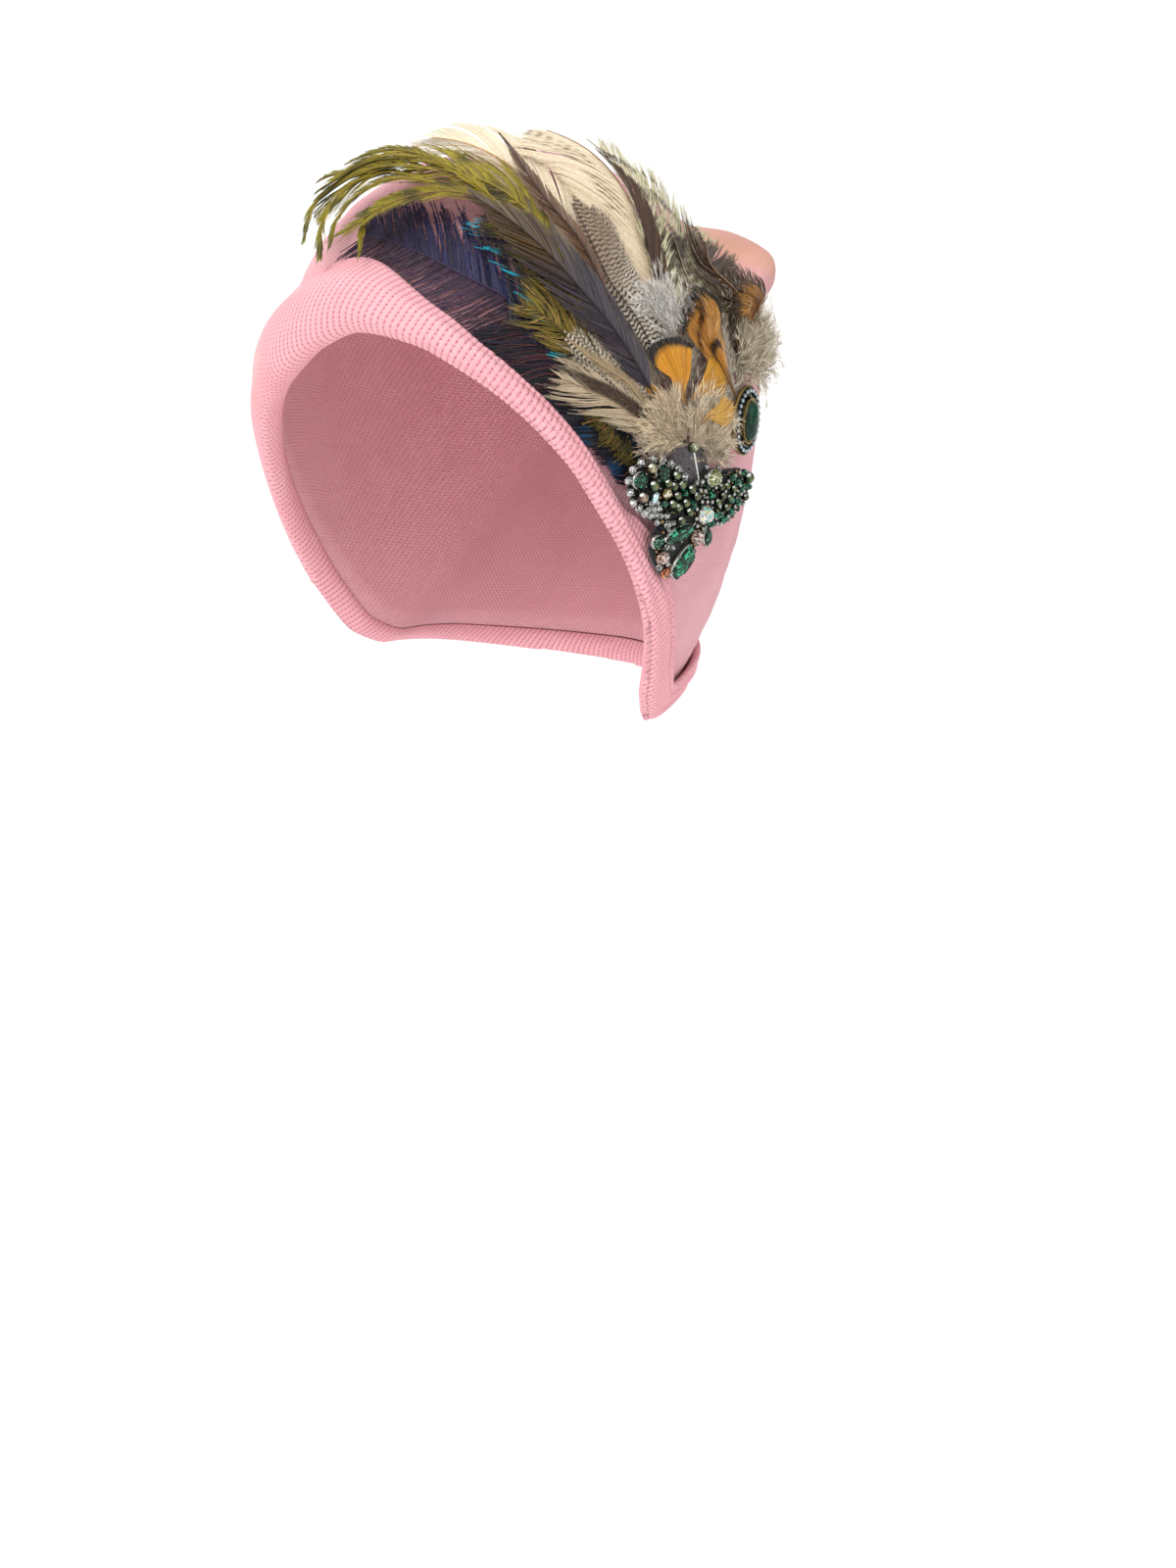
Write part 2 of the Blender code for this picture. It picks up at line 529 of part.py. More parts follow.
def build_stone(name, u, v, long, wide, turn, high, shape, look):
    plane = Plane(CLUSTER_ROUND, CLUSTER_UP, BROOCH_FLOOR)
    p, a, b, n = plane.frame(u, v)
    p = p+n*(BACKING_WALL+GAP+0.25)
    c, s = math.cos(math.radians(turn)), math.sin(math.radians(turn))
    a, b = c*a+s*b, -s*a+c*b
    loops = [p+l[:, :1]*a+l[:, 1:2]*b+l[:, 2:3]*n for l in gem_loops(shape, long, wide, high)]
    verts, faces = loft_loops(loops)
    return finish_mesh(name, verts, faces, look, False)


def oval_loop(frame, long, wide, h, count=28):
    p, a, b, n = frame
    t = np.arange(count)/count*2*math.pi
    return p+(wide/2*np.cos(t))[:, None]*a+(long/2*np.sin(t))[:, None]*b+n*h


def oval_frame():
    plane = Plane(OVAL_ROUND, OVAL_UP, OVAL_FLOOR)
    p, a, b, n = plane.frame(0.0, 0.0)
    c, s = math.cos(math.radians(OVAL_TURN)), math.sin(math.radians(OVAL_TURN))
    return p, c*a+s*b, -s*a+c*b, n


def build_oval():
    frame = oval_frame()
    rows = (            # share of the outline, height above the seat, mm
        (0.90, 0.0), (1.0, 0.6), (1.0, 2.0), (0.94, 2.6), (0.76, 2.6), (0.70, 1.6),
        (0.64, 1.6), (0.60, 3.4), (0.52, 3.4), (0.50, 2.4),
    )
    loops = [oval_loop(frame, OVAL_HEIGHT-OVAL_WIDTH*(1-s), OVAL_WIDTH*s, h) for s, h in rows]
    verts, faces = loft_loops(loops)
    finish_mesh("oval_setting", verts, faces, "gold_metal", False)
    rows = ((0.44, 2.75), (0.46, 3.2), (0.42, 4.4), (0.30, 5.4), (0.14, 5.9))
    loops = [oval_loop(frame, OVAL_HEIGHT-OVAL_WIDTH*(1-s), OVAL_WIDTH*s, h, 20) for s, h in rows]
    verts, faces = loft_loops(loops)
    finish_mesh("oval_cabochon", verts, faces, "emerald")


def turned(name, start, axis, rows, look, count=12):
    """A round piece: rows of (along, radius) from start along axis."""
    axis = unit(axis)
    side = unit(np.cross(axis, [0.3, 0.2, 1.0]))
    other = np.cross(axis, side)
    t = np.arange(count)/count*2*math.pi
    loops = [start+axis*z+r*(np.cos(t)[:, None]*side+np.sin(t)[:, None]*other) for z, r in rows]
    verts, faces = loft_loops(loops)
    return finish_mesh(name, verts, faces, look)


PIN_COLUMNS = ("name", "head_u", "head_v", "head_h", "foot_u", "foot_v", "foot_h")
PINS = (
    ("hatpin", -7.6, 21.4, 14.2, 0.4, 9.4, 9.4),
    ("gold_pin", 14.2, 16.8, 10.2, 12.6, 13.6, 8.4),
)


def build_pins():
    plane = Plane(CLUSTER_ROUND, CLUSTER_UP, BROOCH_FLOOR)
    for name, hu, hv, hh, fu, fv, fh in PINS:
        head = plane.at(np.array([hu]), np.array([hv]), np.array([hh-BROOCH_FLOOR]))[0]
        foot = plane.at(np.array([fu]), np.array([fv]), np.array([fh-BROOCH_FLOOR]))[0]
        run = float(np.linalg.norm(head-foot))
        if name == "hatpin":
            r = 1.95
            ball = [(run+r-r*math.cos(x), r*math.sin(x)) for x in np.radians((18, 42, 66, 90, 114, 138, 162))]
            rows = [(0, 0.2), (1.5, 0.45), (run+0.05, 0.5)]+ball
            turned(name, foot, head-foot, rows, "silver_metal")
        else:
            turned(name, foot, head-foot, [(0, 0.25), (0.8, 0.5), (run, 0.5)], "gold_metal", 8)


def build():
    global CUFF_TOP
    at, _ = rim_stations(360)
    CUFF_TOP = rib(at, rim_rows(at, 2)+rim_rows(at, 4)+1.0)
    build_crown()
    build_cuff()
    for row in FEATHERS:
        build_feather(*row)
    build_backing()
    for row in STONES:
        build_stone(*row)
    build_oval()
    build_pins()


build()
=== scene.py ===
"""Looks of the flapper beanie: knitted crown and cuff, feather spray, jewels.
All shapes are worked out in millimetres from the head form, as the solids are."""
import json
import math

import bpy
import numpy as np
from mathutils import Matrix, Vector

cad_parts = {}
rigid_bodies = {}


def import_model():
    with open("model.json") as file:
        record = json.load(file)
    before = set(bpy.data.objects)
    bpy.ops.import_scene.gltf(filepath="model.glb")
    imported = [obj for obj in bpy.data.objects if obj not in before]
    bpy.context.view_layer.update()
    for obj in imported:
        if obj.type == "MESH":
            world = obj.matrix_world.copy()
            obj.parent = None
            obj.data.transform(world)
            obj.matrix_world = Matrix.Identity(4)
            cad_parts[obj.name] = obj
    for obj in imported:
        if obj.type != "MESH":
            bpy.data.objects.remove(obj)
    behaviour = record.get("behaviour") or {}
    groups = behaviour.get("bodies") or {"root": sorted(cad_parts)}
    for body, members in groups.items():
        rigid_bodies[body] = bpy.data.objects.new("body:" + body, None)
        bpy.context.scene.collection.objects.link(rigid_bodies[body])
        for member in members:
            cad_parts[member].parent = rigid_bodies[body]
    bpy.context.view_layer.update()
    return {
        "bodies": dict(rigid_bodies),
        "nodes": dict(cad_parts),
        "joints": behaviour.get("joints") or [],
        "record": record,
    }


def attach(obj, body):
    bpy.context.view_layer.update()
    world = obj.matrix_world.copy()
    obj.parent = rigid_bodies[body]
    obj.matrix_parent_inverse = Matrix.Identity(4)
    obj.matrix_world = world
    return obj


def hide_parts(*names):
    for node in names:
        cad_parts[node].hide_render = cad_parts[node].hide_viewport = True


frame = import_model()
MM = 0.001
rng = np.random.default_rng(1926)

# ------------------------------------------------------------------ sizes, mm
HALF_WIDTH, HALF_FRONT, HALF_BACK = 80.0, 94.0, 103.0
CROWN_UP, TAPER_DOWN, ROUNDNESS = 98.0, 142.0, 2.2
CROWN_WALL, CUFF_WALL, GAP, CUFF_TUCK = 2.5, 3.0, 0.35, 8.0
FEATHER_BASE, FEATHER_PITCH = 1.3, 1.15
BROOCH_FLOOR, BACKING_WALL, OVAL_FLOOR = 6.0, 1.6, 5.2
OVAL_HEIGHT, OVAL_WIDTH = 25.2, 19.6
POLE_ROUND, POLE_UP = 152.0, 47.0
ROOT_ROUND, ROOT_UP = 79.0, -9.5
SLOUCH = (
    (90, 0.0), (70, 0.0), (58, 0.3), (50, 1.0), (44, 2.5), (39, 7.0), (35, 14.5),
    (32, 21.5), (29.5, 24.5), (27, 22.5), (25, 17.0), (22, 12.5), (10, 9.5),
    (-5, 8.0), (-20, 6.0), (-40, 3.0), (-60, 0.5), (-90, 0.0),
)
SLOUCH_ROUND, SLOUCH_FULL, SLOUCH_GONE = 140.0, 12.0, 80.0
RIM = (
    (-180, -55, 24, 4.6, 0), (-130, -56, 20, 4.2, 0), (-100, -56, 20, 4.6, 0),
    (-86, -53, 21, 5.0, 0), (-76, -45, 22, 5.6, 0), (-66, -33, 24, 6.2, 0),
    (-57, -21, 25, 6.2, 0), (-50, -12, 26, 6.4, 0), (-42, -2.5, 28, 7.4, 0),
    (-32, 8, 30, 9.6, 0), (-20, 16, 32, 12.4, 0), (-10, 22.5, 28.5, 13.0, 0),
    (0, 26, 19.5, 11.0, 0), (14, 24, 11.0, 9.3, 0), (25, 19.2, 7.6, 8.3, 0),
    (35, 12.0, 6.6, 7.0, 0), (45, 1.5, 6.4, 6.0, 0), (54, -11.3, 5.8, 5.4, 0),
    (60, -20.2, 6.6, 5.0, 4), (66, -29.4, 8.2, 4.8, 6), (73, -41, 13, 4.5, 3),
    (82, -56.5, 14.5, 4.4, 0), (94, -61.5, 13.5, 4.0, 0), (115, -59.5, 12.5, 3.8, 0),
    (150, -56.5, 17, 4.0, 0), (180, -55, 24, 4.6, 0),
)
CLUSTER_ROUND, CLUSTER_UP = 80.2, -13.3
OVAL_ROUND, OVAL_UP, OVAL_TURN = 101.0, 3.4, -6.0
WALE, ROW = 2.2, 2.2       # knit pitch of the cuff


# ------------------------------------------------------------------ the form
def unit(v):
    v = np.asarray(v, float)
    return v/np.maximum(np.linalg.norm(v, axis=-1, keepdims=True), 1e-12)


def direction(round_deg, up_deg):
    t, e = np.radians(round_deg), np.radians(up_deg)
    return np.stack([np.sin(t)*np.cos(e), -np.cos(t)*np.cos(e), np.sin(e)+0*t], -1)


def angles(d):
    d = unit(d)
    return np.degrees(np.arctan2(d[..., 0], -d[..., 1])), np.degrees(np.arcsin(np.clip(d[..., 2], -1, 1)))


def smooth(x, low, high):
    t = np.clip((np.asarray(x, float)-low)/(high-low), 0, 1)
    return t*t*(3-2*t)


def through_rows(x, xs, ys, loop=None):
    xs, ys = np.asarray(xs, float), np.asarray(ys, float)
    order = np.argsort(xs)
    xs, ys = xs[order], ys[order]
    if loop:
        xs = np.concatenate([xs[:-1]-loop, xs, xs[1:]+loop])
        ys = np.concatenate([ys[:-1], ys, ys[1:]])
    step = np.diff(xs)
    slope = np.diff(ys)/step
    m = np.zeros(len(xs))
    m[1:-1] = np.where(slope[:-1]*slope[1:] > 0, 2*slope[:-1]*slope[1:]/(slope[:-1]+slope[1:]+1e-12), 0)
    m[0], m[-1] = slope[0], slope[-1]
    x = np.clip(x, xs[0], xs[-1])
    i = np.clip(np.searchsorted(xs, x, side="right")-1, 0, len(step)-1)
    t = (x-xs[i])/step[i]
    return ((2*t**3-3*t**2+1)*ys[i]+(t**3-2*t**2+t)*step[i]*m[i]
            + (-2*t**3+3*t**2)*ys[i+1]+(t**3-t**2)*step[i]*m[i+1])


SL_X, SL_Y = [r[0] for r in SLOUCH], [r[1] for r in SLOUCH]


def radius(d):
    d = unit(d)
    depth = np.where(d[..., 1] < 0, HALF_FRONT, HALF_BACK)
    height = np.where(d[..., 2] > 0, CROWN_UP, TAPER_DOWN)
    flat = np.sqrt((d[..., 0]/HALF_WIDTH)**2+(d[..., 1]/depth)**2)
    r = (flat**ROUNDNESS+np.abs(d[..., 2]/height)**ROUNDNESS)**(-1/ROUNDNESS)
    round_deg, up_deg = angles(d)
    off = np.abs((round_deg-SLOUCH_ROUND+180) % 360-180)
    return r+(1-smooth(off, SLOUCH_FULL, SLOUCH_GONE))*through_rows(up_deg, SL_X, SL_Y)


def shell(d, h=0.0):
    d = unit(d)
    return d*(radius(d)+h)[..., None]


def normal(d, h=0.0):
    d = unit(d)
    a = unit(np.cross([0.05, 0.02, 1.0], d))
    b = np.cross(d, a)
    e = 2e-3
    return unit(np.cross(shell(d+e*a, h)-shell(d-e*a, h), shell(d+e*b, h)-shell(d-e*b, h)))


def between(a, b, t):
    t = np.asarray(t, float)[..., None]
    w = np.arccos(np.clip((a*b).sum(-1, keepdims=True), -1, 1))
    return (np.sin((1-t)*w)*a+np.sin(t*w)*b)/np.sin(w)


POLE = direction(POLE_ROUND, POLE_UP)
ROOT = direction(ROOT_ROUND, ROOT_UP)
RX = [r[0] for r in RIM]


def rim_rows(round_deg, column):
    return through_rows(round_deg, RX, [r[column] for r in RIM], loop=360.0)


def rim_stations(count):
    fine = np.linspace(-180, 180, 2881)
    p = shell(direction(fine, rim_rows(fine, 1)))
    run = np.concatenate([[0], np.cumsum(np.linalg.norm(np.diff(p, axis=0), axis=1))])
    return np.interp(np.arange(count)/count*run[-1], run, fine), run[-1]


def rib(round_deg, u_mm):
    start = direction(round_deg, rim_rows(round_deg, 1))
    pole = np.broadcast_to(POLE, start.shape)
    w = np.arccos(np.clip((start*pole).sum(-1), -1, 1))
    return between(start, pole, u_mm/radius(start)/w)


def cuff_line(roll, bulge, ledge):
    half = CUFF_WALL/2
    rest = GAP+half
    rows = [
        (CUFF_TUCK-0.6, -CROWN_WALL/2), (CUFF_TUCK*0.55, -0.9), (1.8, 0.6), (0.0, 3.4),
        (0.8, 0.62*bulge), (0.2*roll, 0.88*bulge), (0.42*roll, bulge-half*0.6),
        (0.66*roll, 0.86*bulge), (0.86*roll, 0.55*bulge),
    ]
    blend = float(smooth(ledge, 0.0, 5.0))
    a = [(roll-0.2, rest+0.22*bulge), (roll+0.7, rest+0.5), (roll+1.0, rest)]
    b = [(roll+0.6, rest+0.6), (roll+0.55*ledge, rest), (roll+ledge, rest)]
    rows += [tuple(np.array(p)*(1-blend)+np.array(q)*blend) for p, q in zip(a, b)]
    return np.array(rows)


def catmull(points, t):
    p = np.asarray(points, float)
    p = np.vstack([2*p[0]-p[1], p, 2*p[-1]-p[-2]])
    n = len(p)-3
    x = np.clip(np.asarray(t, float)*n, 0, n-1e-9)
    i = x.astype(int)
    f = (x-i)[:, None]
    a, b, c, d = p[i], p[i+1], p[i+2], p[i+3]
    return 0.5*(2*b+(c-a)*f+(2*a-5*b+4*c-d)*f**2+(3*b-a-3*c+d)*f**3)


# ------------------------------------------------------------------ meshes
def rgb(r, g, b):
    """Display colour (0-255) to linear light."""
    c = np.array([r, g, b], float)/255
    return np.where(c <= 0.04045, c/12.92, ((c+0.055)/1.055)**2.4)


def mesh_object(name, verts, faces, mat, nodes=(), col=None, uv=None, shade=True, scale=MM):
    """faces is an (n, 3) or (n, 4) array, or a list of such arrays."""
    me = bpy.data.meshes.new(name)
    verts = np.asarray(verts, np.float32)*scale
    groups = faces if isinstance(faces, list) else [faces]
    groups = [np.asarray(g, np.int32) for g in groups if len(g)]
    me.vertices.add(len(verts))
    me.vertices.foreach_set("co", verts.ravel())
    loops = np.concatenate([g.ravel() for g in groups])
    sizes = np.concatenate([np.full(len(g), g.shape[1]) for g in groups])
    starts = np.concatenate([[0], np.cumsum(sizes)[:-1]]).astype(np.int32)
    me.loops.add(len(loops))
    me.loops.foreach_set("vertex_index", loops)
    me.polygons.add(len(sizes))
    me.polygons.foreach_set("loop_start", starts)
    me.update(calc_edges=True)
    if col is not None:
        a = me.color_attributes.new("Col", "FLOAT_COLOR", "POINT")
        c = np.ones((len(verts), 4), np.float32)
        c[:, :3] = np.clip(col, 0, 1)
        a.data.foreach_set("color", c.ravel())
        me.color_attributes.active_color = a
    if uv is not None:
        layer = me.uv_layers.new(name="UVMap")
        layer.data.foreach_set("uv", np.asarray(uv, np.float32)[loops].ravel())
    if shade:
        me.shade_smooth()
    me.materials.append(mat)
    ob = bpy.data.objects.new(name, me)
    bpy.context.scene.collection.objects.link(ob)
    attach(ob, "root")
    if nodes:
        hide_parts(*nodes)
    return ob


def grid_faces(rows, cols, close=False, offset=0):
    """Quads over rows x cols vertices; close joins the last column to the first."""
    r = np.arange(rows-1)[:, None]
    c = np.arange(cols if close else cols-1)[None, :]
    n = (c+1) % cols
    q = np.stack([r*cols+c, r*cols+n, (r+1)*cols+n, (r+1)*cols+c], -1)
    return q.reshape(-1, 4)+offset


class Bag:
    """Collects parts of one mesh."""

    def __init__(self):
        self.v, self.f, self.c, self.n = [], [], [], 0

    def add(self, v, f, c):
        v = np.asarray(v, float).reshape(-1, 3)
        c = np.broadcast_to(np.asarray(c, float), v.shape) if np.ndim(c) == 1 else np.asarray(c, float).reshape(-1, 3)
        self.v.append(v)
        self.c.append(c)
        for g in (f if isinstance(f, list) else [f]):
            self.f.append(np.asarray(g)+self.n)
        self.n += len(v)

    def object(self, name, mat, slot, nodes=(), shade=True):
        quads = [g for g in self.f if g.shape[1] == 4]
        tris = [g for g in self.f if g.shape[1] == 3]
        groups = ([np.concatenate(quads)] if quads else [])+([np.concatenate(tris)] if tris else [])
        return mesh_object(name, np.concatenate(self.v), groups, mat, nodes, np.concatenate(self.c), shade=shade)


# ------------------------------------------------------------------ shader helper
class X:
    """A number socket in a node tree, for writing sums as sums."""

    def __init__(self, tree, sock):
        self.t, self.s = tree, sock

    def op(self, kind, *others, clamp=False):
        n = self.t.nodes.new("ShaderNodeMath")
        n.operation = kind
        n.use_clamp = clamp
        for i, o in enumerate((self,)+others):
            if isinstance(o, X):
                self.t.links.new(o.s, n.inputs[i])
            else:
                n.inputs[i].default_value = float(o)
        return X(self.t, n.outputs[0])

    def __add__(self, o): return self.op("ADD", o)
    def __sub__(self, o): return self.op("SUBTRACT", o)
    def __mul__(self, o): return self.op("MULTIPLY", o)
    def __truediv__(self, o): return self.op("DIVIDE", o)
    def __rsub__(self, o): return (self*-1.0)+o
    __radd__ = __add__
    __rmul__ = __mul__
    def frac(self): return self.op("FRACT")
    def floor(self): return self.op("FLOOR")
    def abs(self): return self.op("ABSOLUTE")
    def sin(self): return self.op("SINE")
    def power(self, o): return self.op("POWER", o)
    def exp(self): return self.op("EXPONENT")
    def min(self, o): return self.op("MINIMUM", o)
    def max(self, o): return self.op("MAXIMUM", o)

    def ramp(self, low, high, a=0.0, b=1.0):
        n = self.t.nodes.new("ShaderNodeMapRange")
        n.interpolation_type = "SMOOTHSTEP"
        self.t.links.new(self.s, n.inputs["Value"])
        n.inputs["From Min"].default_value, n.inputs["From Max"].default_value = low, high
        n.inputs["To Min"].default_value, n.inputs["To Max"].default_value = a, b
        return X(self.t, n.outputs["Result"])


class Mat:
    def __init__(self, name, rough=0.5, metal=0.0, spec=None, coat=0.0, coat_rough=0.05, sheen=0.0, sheen_rough=0.5,
                 trans=0.0, ior=1.5, sub=0.0):
        self.m = bpy.data.materials.new(name)
        self.m.use_nodes = True
        self.t = self.m.node_tree
        self.p = self.t.nodes["Principled BSDF"]
        i = self.p.inputs
        i["Roughness"].default_value, i["Metallic"].default_value = rough, metal
        i["Coat Weight"].default_value, i["Coat Roughness"].default_value = coat, coat_rough
        i["Sheen Weight"].default_value, i["Sheen Roughness"].default_value = sheen, sheen_rough
        i["Transmission Weight"].default_value, i["IOR"].default_value = trans, ior
        i["Subsurface Weight"].default_value = sub
        if spec is not None:
            i["Specular IOR Level"].default_value = spec

    def node(self, kind, **props):
        n = self.t.nodes.new(kind)
        for k, v in props.items():
            setattr(n, k, v)
        return n

    def link(self, a, b):
        self.t.links.new(a.s if isinstance(a, X) else a, b)

    def uv(self):
        n = self.node("ShaderNodeUVMap")
        s = self.node("ShaderNodeSeparateXYZ")
        self.link(n.outputs[0], s.inputs[0])
        return X(self.t, s.outputs[0]), X(self.t, s.outputs[1])

    def place(self):
        return self.node("ShaderNodeTexCoord").outputs["Object"]

    def noise(self, scale, detail=3.0, rough=0.5, vec=None, out=0):
        n = self.node("ShaderNodeTexNoise")
        n.inputs["Scale"].default_value, n.inputs["Detail"].default_value = scale, detail
        n.inputs["Roughness"].default_value = rough
        self.link(vec if vec is not None else self.place(), n.inputs["Vector"])
        return X(self.t, n.outputs[out])

    def mix(self, fac, a, b, kind="MIX"):
        n = self.node("ShaderNodeMix", data_type="RGBA", blend_type=kind)
        ins = [s for s in n.inputs if s.enabled or True]
        f, ca, cb = n.inputs[0], n.inputs[6], n.inputs[7]
        for s, v in ((f, fac), (ca, a), (cb, b)):
            if isinstance(v, X):
                self.link(v, s)
            elif isinstance(v, bpy.types.NodeSocket):
                self.link(v, s)
            elif np.ndim(v) == 0:
                s.default_value = float(v)
            else:
                s.default_value = (*[float(x) for x in v], 1.0)
        return n.outputs[2]

    def colour_attr(self):
        n = self.node("ShaderNodeVertexColor", layer_name="Col")
        return n.outputs["Color"]

    def base(self, sock_or_rgb):
        if isinstance(sock_or_rgb, bpy.types.NodeSocket):
            self.link(sock_or_rgb, self.p.inputs["Base Color"])
        else:
            self.p.inputs["Base Color"].default_value = (*[float(x) for x in sock_or_rgb], 1.0)

    def bump(self, height, strength, distance_m):
        n = self.node("ShaderNodeBump")
        n.inputs["Strength"].default_value, n.inputs["Distance"].default_value = strength, distance_m
        self.link(height, n.inputs["Height"])
        self.link(n.outputs[0], self.p.inputs["Normal"])


# ------------------------------------------------------------------ knit materials
def knit_cuff_material():
    k = Mat("cuff_knit", rough=0.95, sheen=0.12, sheen_rough=0.45, spec=0.12)
    u, v = k.uv()
    across = (u.frac()-0.5).abs()*2.0                      # 0 on the rib, 1 in the groove
    stagger = (((u+0.5).floor())*0.5).frac()
    r = (v*1.6+stagger).frac()-0.5
    slant = ((u.frac()-0.5).abs()*1.6+v*3.2).frac()-0.5    # the two arms of each stitch
    hole_u = 1.0-across
    hole = ((hole_u*hole_u*10.0+r*r*15.0)*-1.0).exp()
    groove = across.ramp(0.5, 1.0)
    line = across.ramp(0.78, 1.0)
    arm = (slant.abs()*2.0).ramp(0.1, 0.95)
    fuzz = k.noise(2600, 3, 0.6)
    blotch = k.noise(55, 3, 0.55)
    pale, mid, deep = rgb(245, 180, 187), rgb(230, 150, 162), rgb(176, 90, 114)
    # painted shade: grooves, the gaps between stitch arms, groove lines and stitch holes are darkened towards deeper
    # pinks, at the low points of the bump
    c = k.mix(groove*0.3, pale, mid)
    c = k.mix(arm*0.22, c, mid)
    c = k.mix(line*0.38, c, rgb(204, 122, 140))
    c = k.mix(hole.ramp(0.2, 0.75)*0.78, c, deep)
    c = k.mix(fuzz.ramp(0.35, 0.75)*0.22, c, rgb(252, 208, 212))
    c = k.mix(blotch.ramp(0.35, 0.7)*0.25, c, mid)
    where = k.node("ShaderNodeSeparateXYZ")
    k.link(k.place(), where.inputs[0])
    tan = X(k.t, where.outputs[0]).ramp(-0.075, -0.030, 0.42, 0.0)*X(k.t, where.outputs[2]).ramp(0.0, 0.034)
    c = k.mix(tan, c, rgb(240, 186, 162))
    k.base(c)
    height = (1.0-groove)*0.6-hole*1.0-arm*0.3+fuzz*0.5
    k.bump(height, 0.6, 0.0006)
    return k.m


def knit_crown_material():
    k = Mat("crown_knit", rough=0.95, sheen=0.25, sheen_rough=0.45, spec=0.15)
    u, v = k.uv()
    far = k.node("ShaderNodeVectorMath", operation="DISTANCE")
    k.link(k.place(), far.inputs[0])
    far.inputs[1].default_value = tuple(float(q) for q in shell(POLE[None])[0]*MM)
    gather = X(k.t, far.outputs["Value"]).ramp(0.006, 0.040, 0.15, 1.0)
    across = (u.frac()-0.5).abs()*2.0
    slant = ((u.frac()-0.5).abs()*1.3+v).frac()-0.5
    arm = (slant.abs()*2.0).ramp(0.15, 0.95)*gather
    groove = across.ramp(0.5, 1.0)*gather
    fuzz = k.noise(2200, 3, 0.6)
    blotch = k.noise(38, 4, 0.6)
    # painted shade: grooves and the gaps between stitch arms are darkened, at the low points of the bump
    c = k.mix(groove*0.45, rgb(242, 180, 186), rgb(210, 132, 146))
    c = k.mix(arm*0.35, c, rgb(212, 136, 150))
    c = k.mix(fuzz.ramp(0.35, 0.75)*0.3, c, rgb(250, 208, 212))
    c = k.mix(blotch.ramp(0.35, 0.75)*0.4, c, rgb(222, 154, 164))
    # painted shade: a warm tan tint on the top of the fold at the back
    where = k.node("ShaderNodeSeparateXYZ")
    k.link(k.place(), where.inputs[0])
    z = X(k.t, where.outputs[2])
    fold = k.node("ShaderNodeVectorMath", operation="DISTANCE")
    k.link(k.place(), fold.inputs[0])
    fold.inputs[1].default_value = (0.068, 0.066, 0.066)
    fold_tan_shade = z.ramp(0.040, 0.062)*X(k.t, fold.outputs["Value"]).ramp(0.018, 0.052, 1.0, 0.0)
    c = k.mix(fold_tan_shade*0.75*(blotch.ramp(0.2, 0.7)*0.3+0.75), c, rgb(214, 152, 108))
    k.base(c)
    k.bump((1.0-groove)*0.7-arm*0.6+fuzz*0.6, 0.7, 0.0006)
    return k.m


def fuzz(name, p, n, slot, lo, hi, long=(0.5, 1.5), wide=0.06):
    """Short stray hairs standing on a knitted face."""
    count = len(p)
    side = unit(np.cross(n, rng.normal(0, 1, (count, 3))))
    side2 = unit(np.cross(n, rng.normal(0, 1, (count, 3))))
    ln = rng.uniform(long[0], long[1], count)[:, None]
    pts = np.stack([p-n*0.1, p+n*ln*0.35+side*ln*0.35, p+n*ln*0.55+side*ln*0.7+side2*ln*0.3], 1)
    tan = unit(np.gradient(pts, axis=1))
    across = unit(np.cross(tan, n[:, None]))
    wd = np.array([wide, wide*0.8, wide*0.35])[None, :, None]
    v = np.stack([pts+across*wd/2, pts-across*wd/2], 2).reshape(-1, 3)
    i = np.arange(count)[:, None]*6
    j = np.arange(2)[None, :]*2
    q = np.stack([i+j, i+j+1, i+j+3, i+j+2], -1).reshape(-1, 4)
    c = tone(lo, hi, rng.random(count))
    m = Mat(name+"_fibre", rough=0.9, sheen=0.3, spec=0.1)
    grain = m.noise(700, 2)
    m.base(m.mix(grain.ramp(0.3, 0.7)*0.25, m.colour_attr(), rgb(226, 150, 162)))
    mesh_object(name, v, q, m.m, (), np.repeat(c, 6, 0))


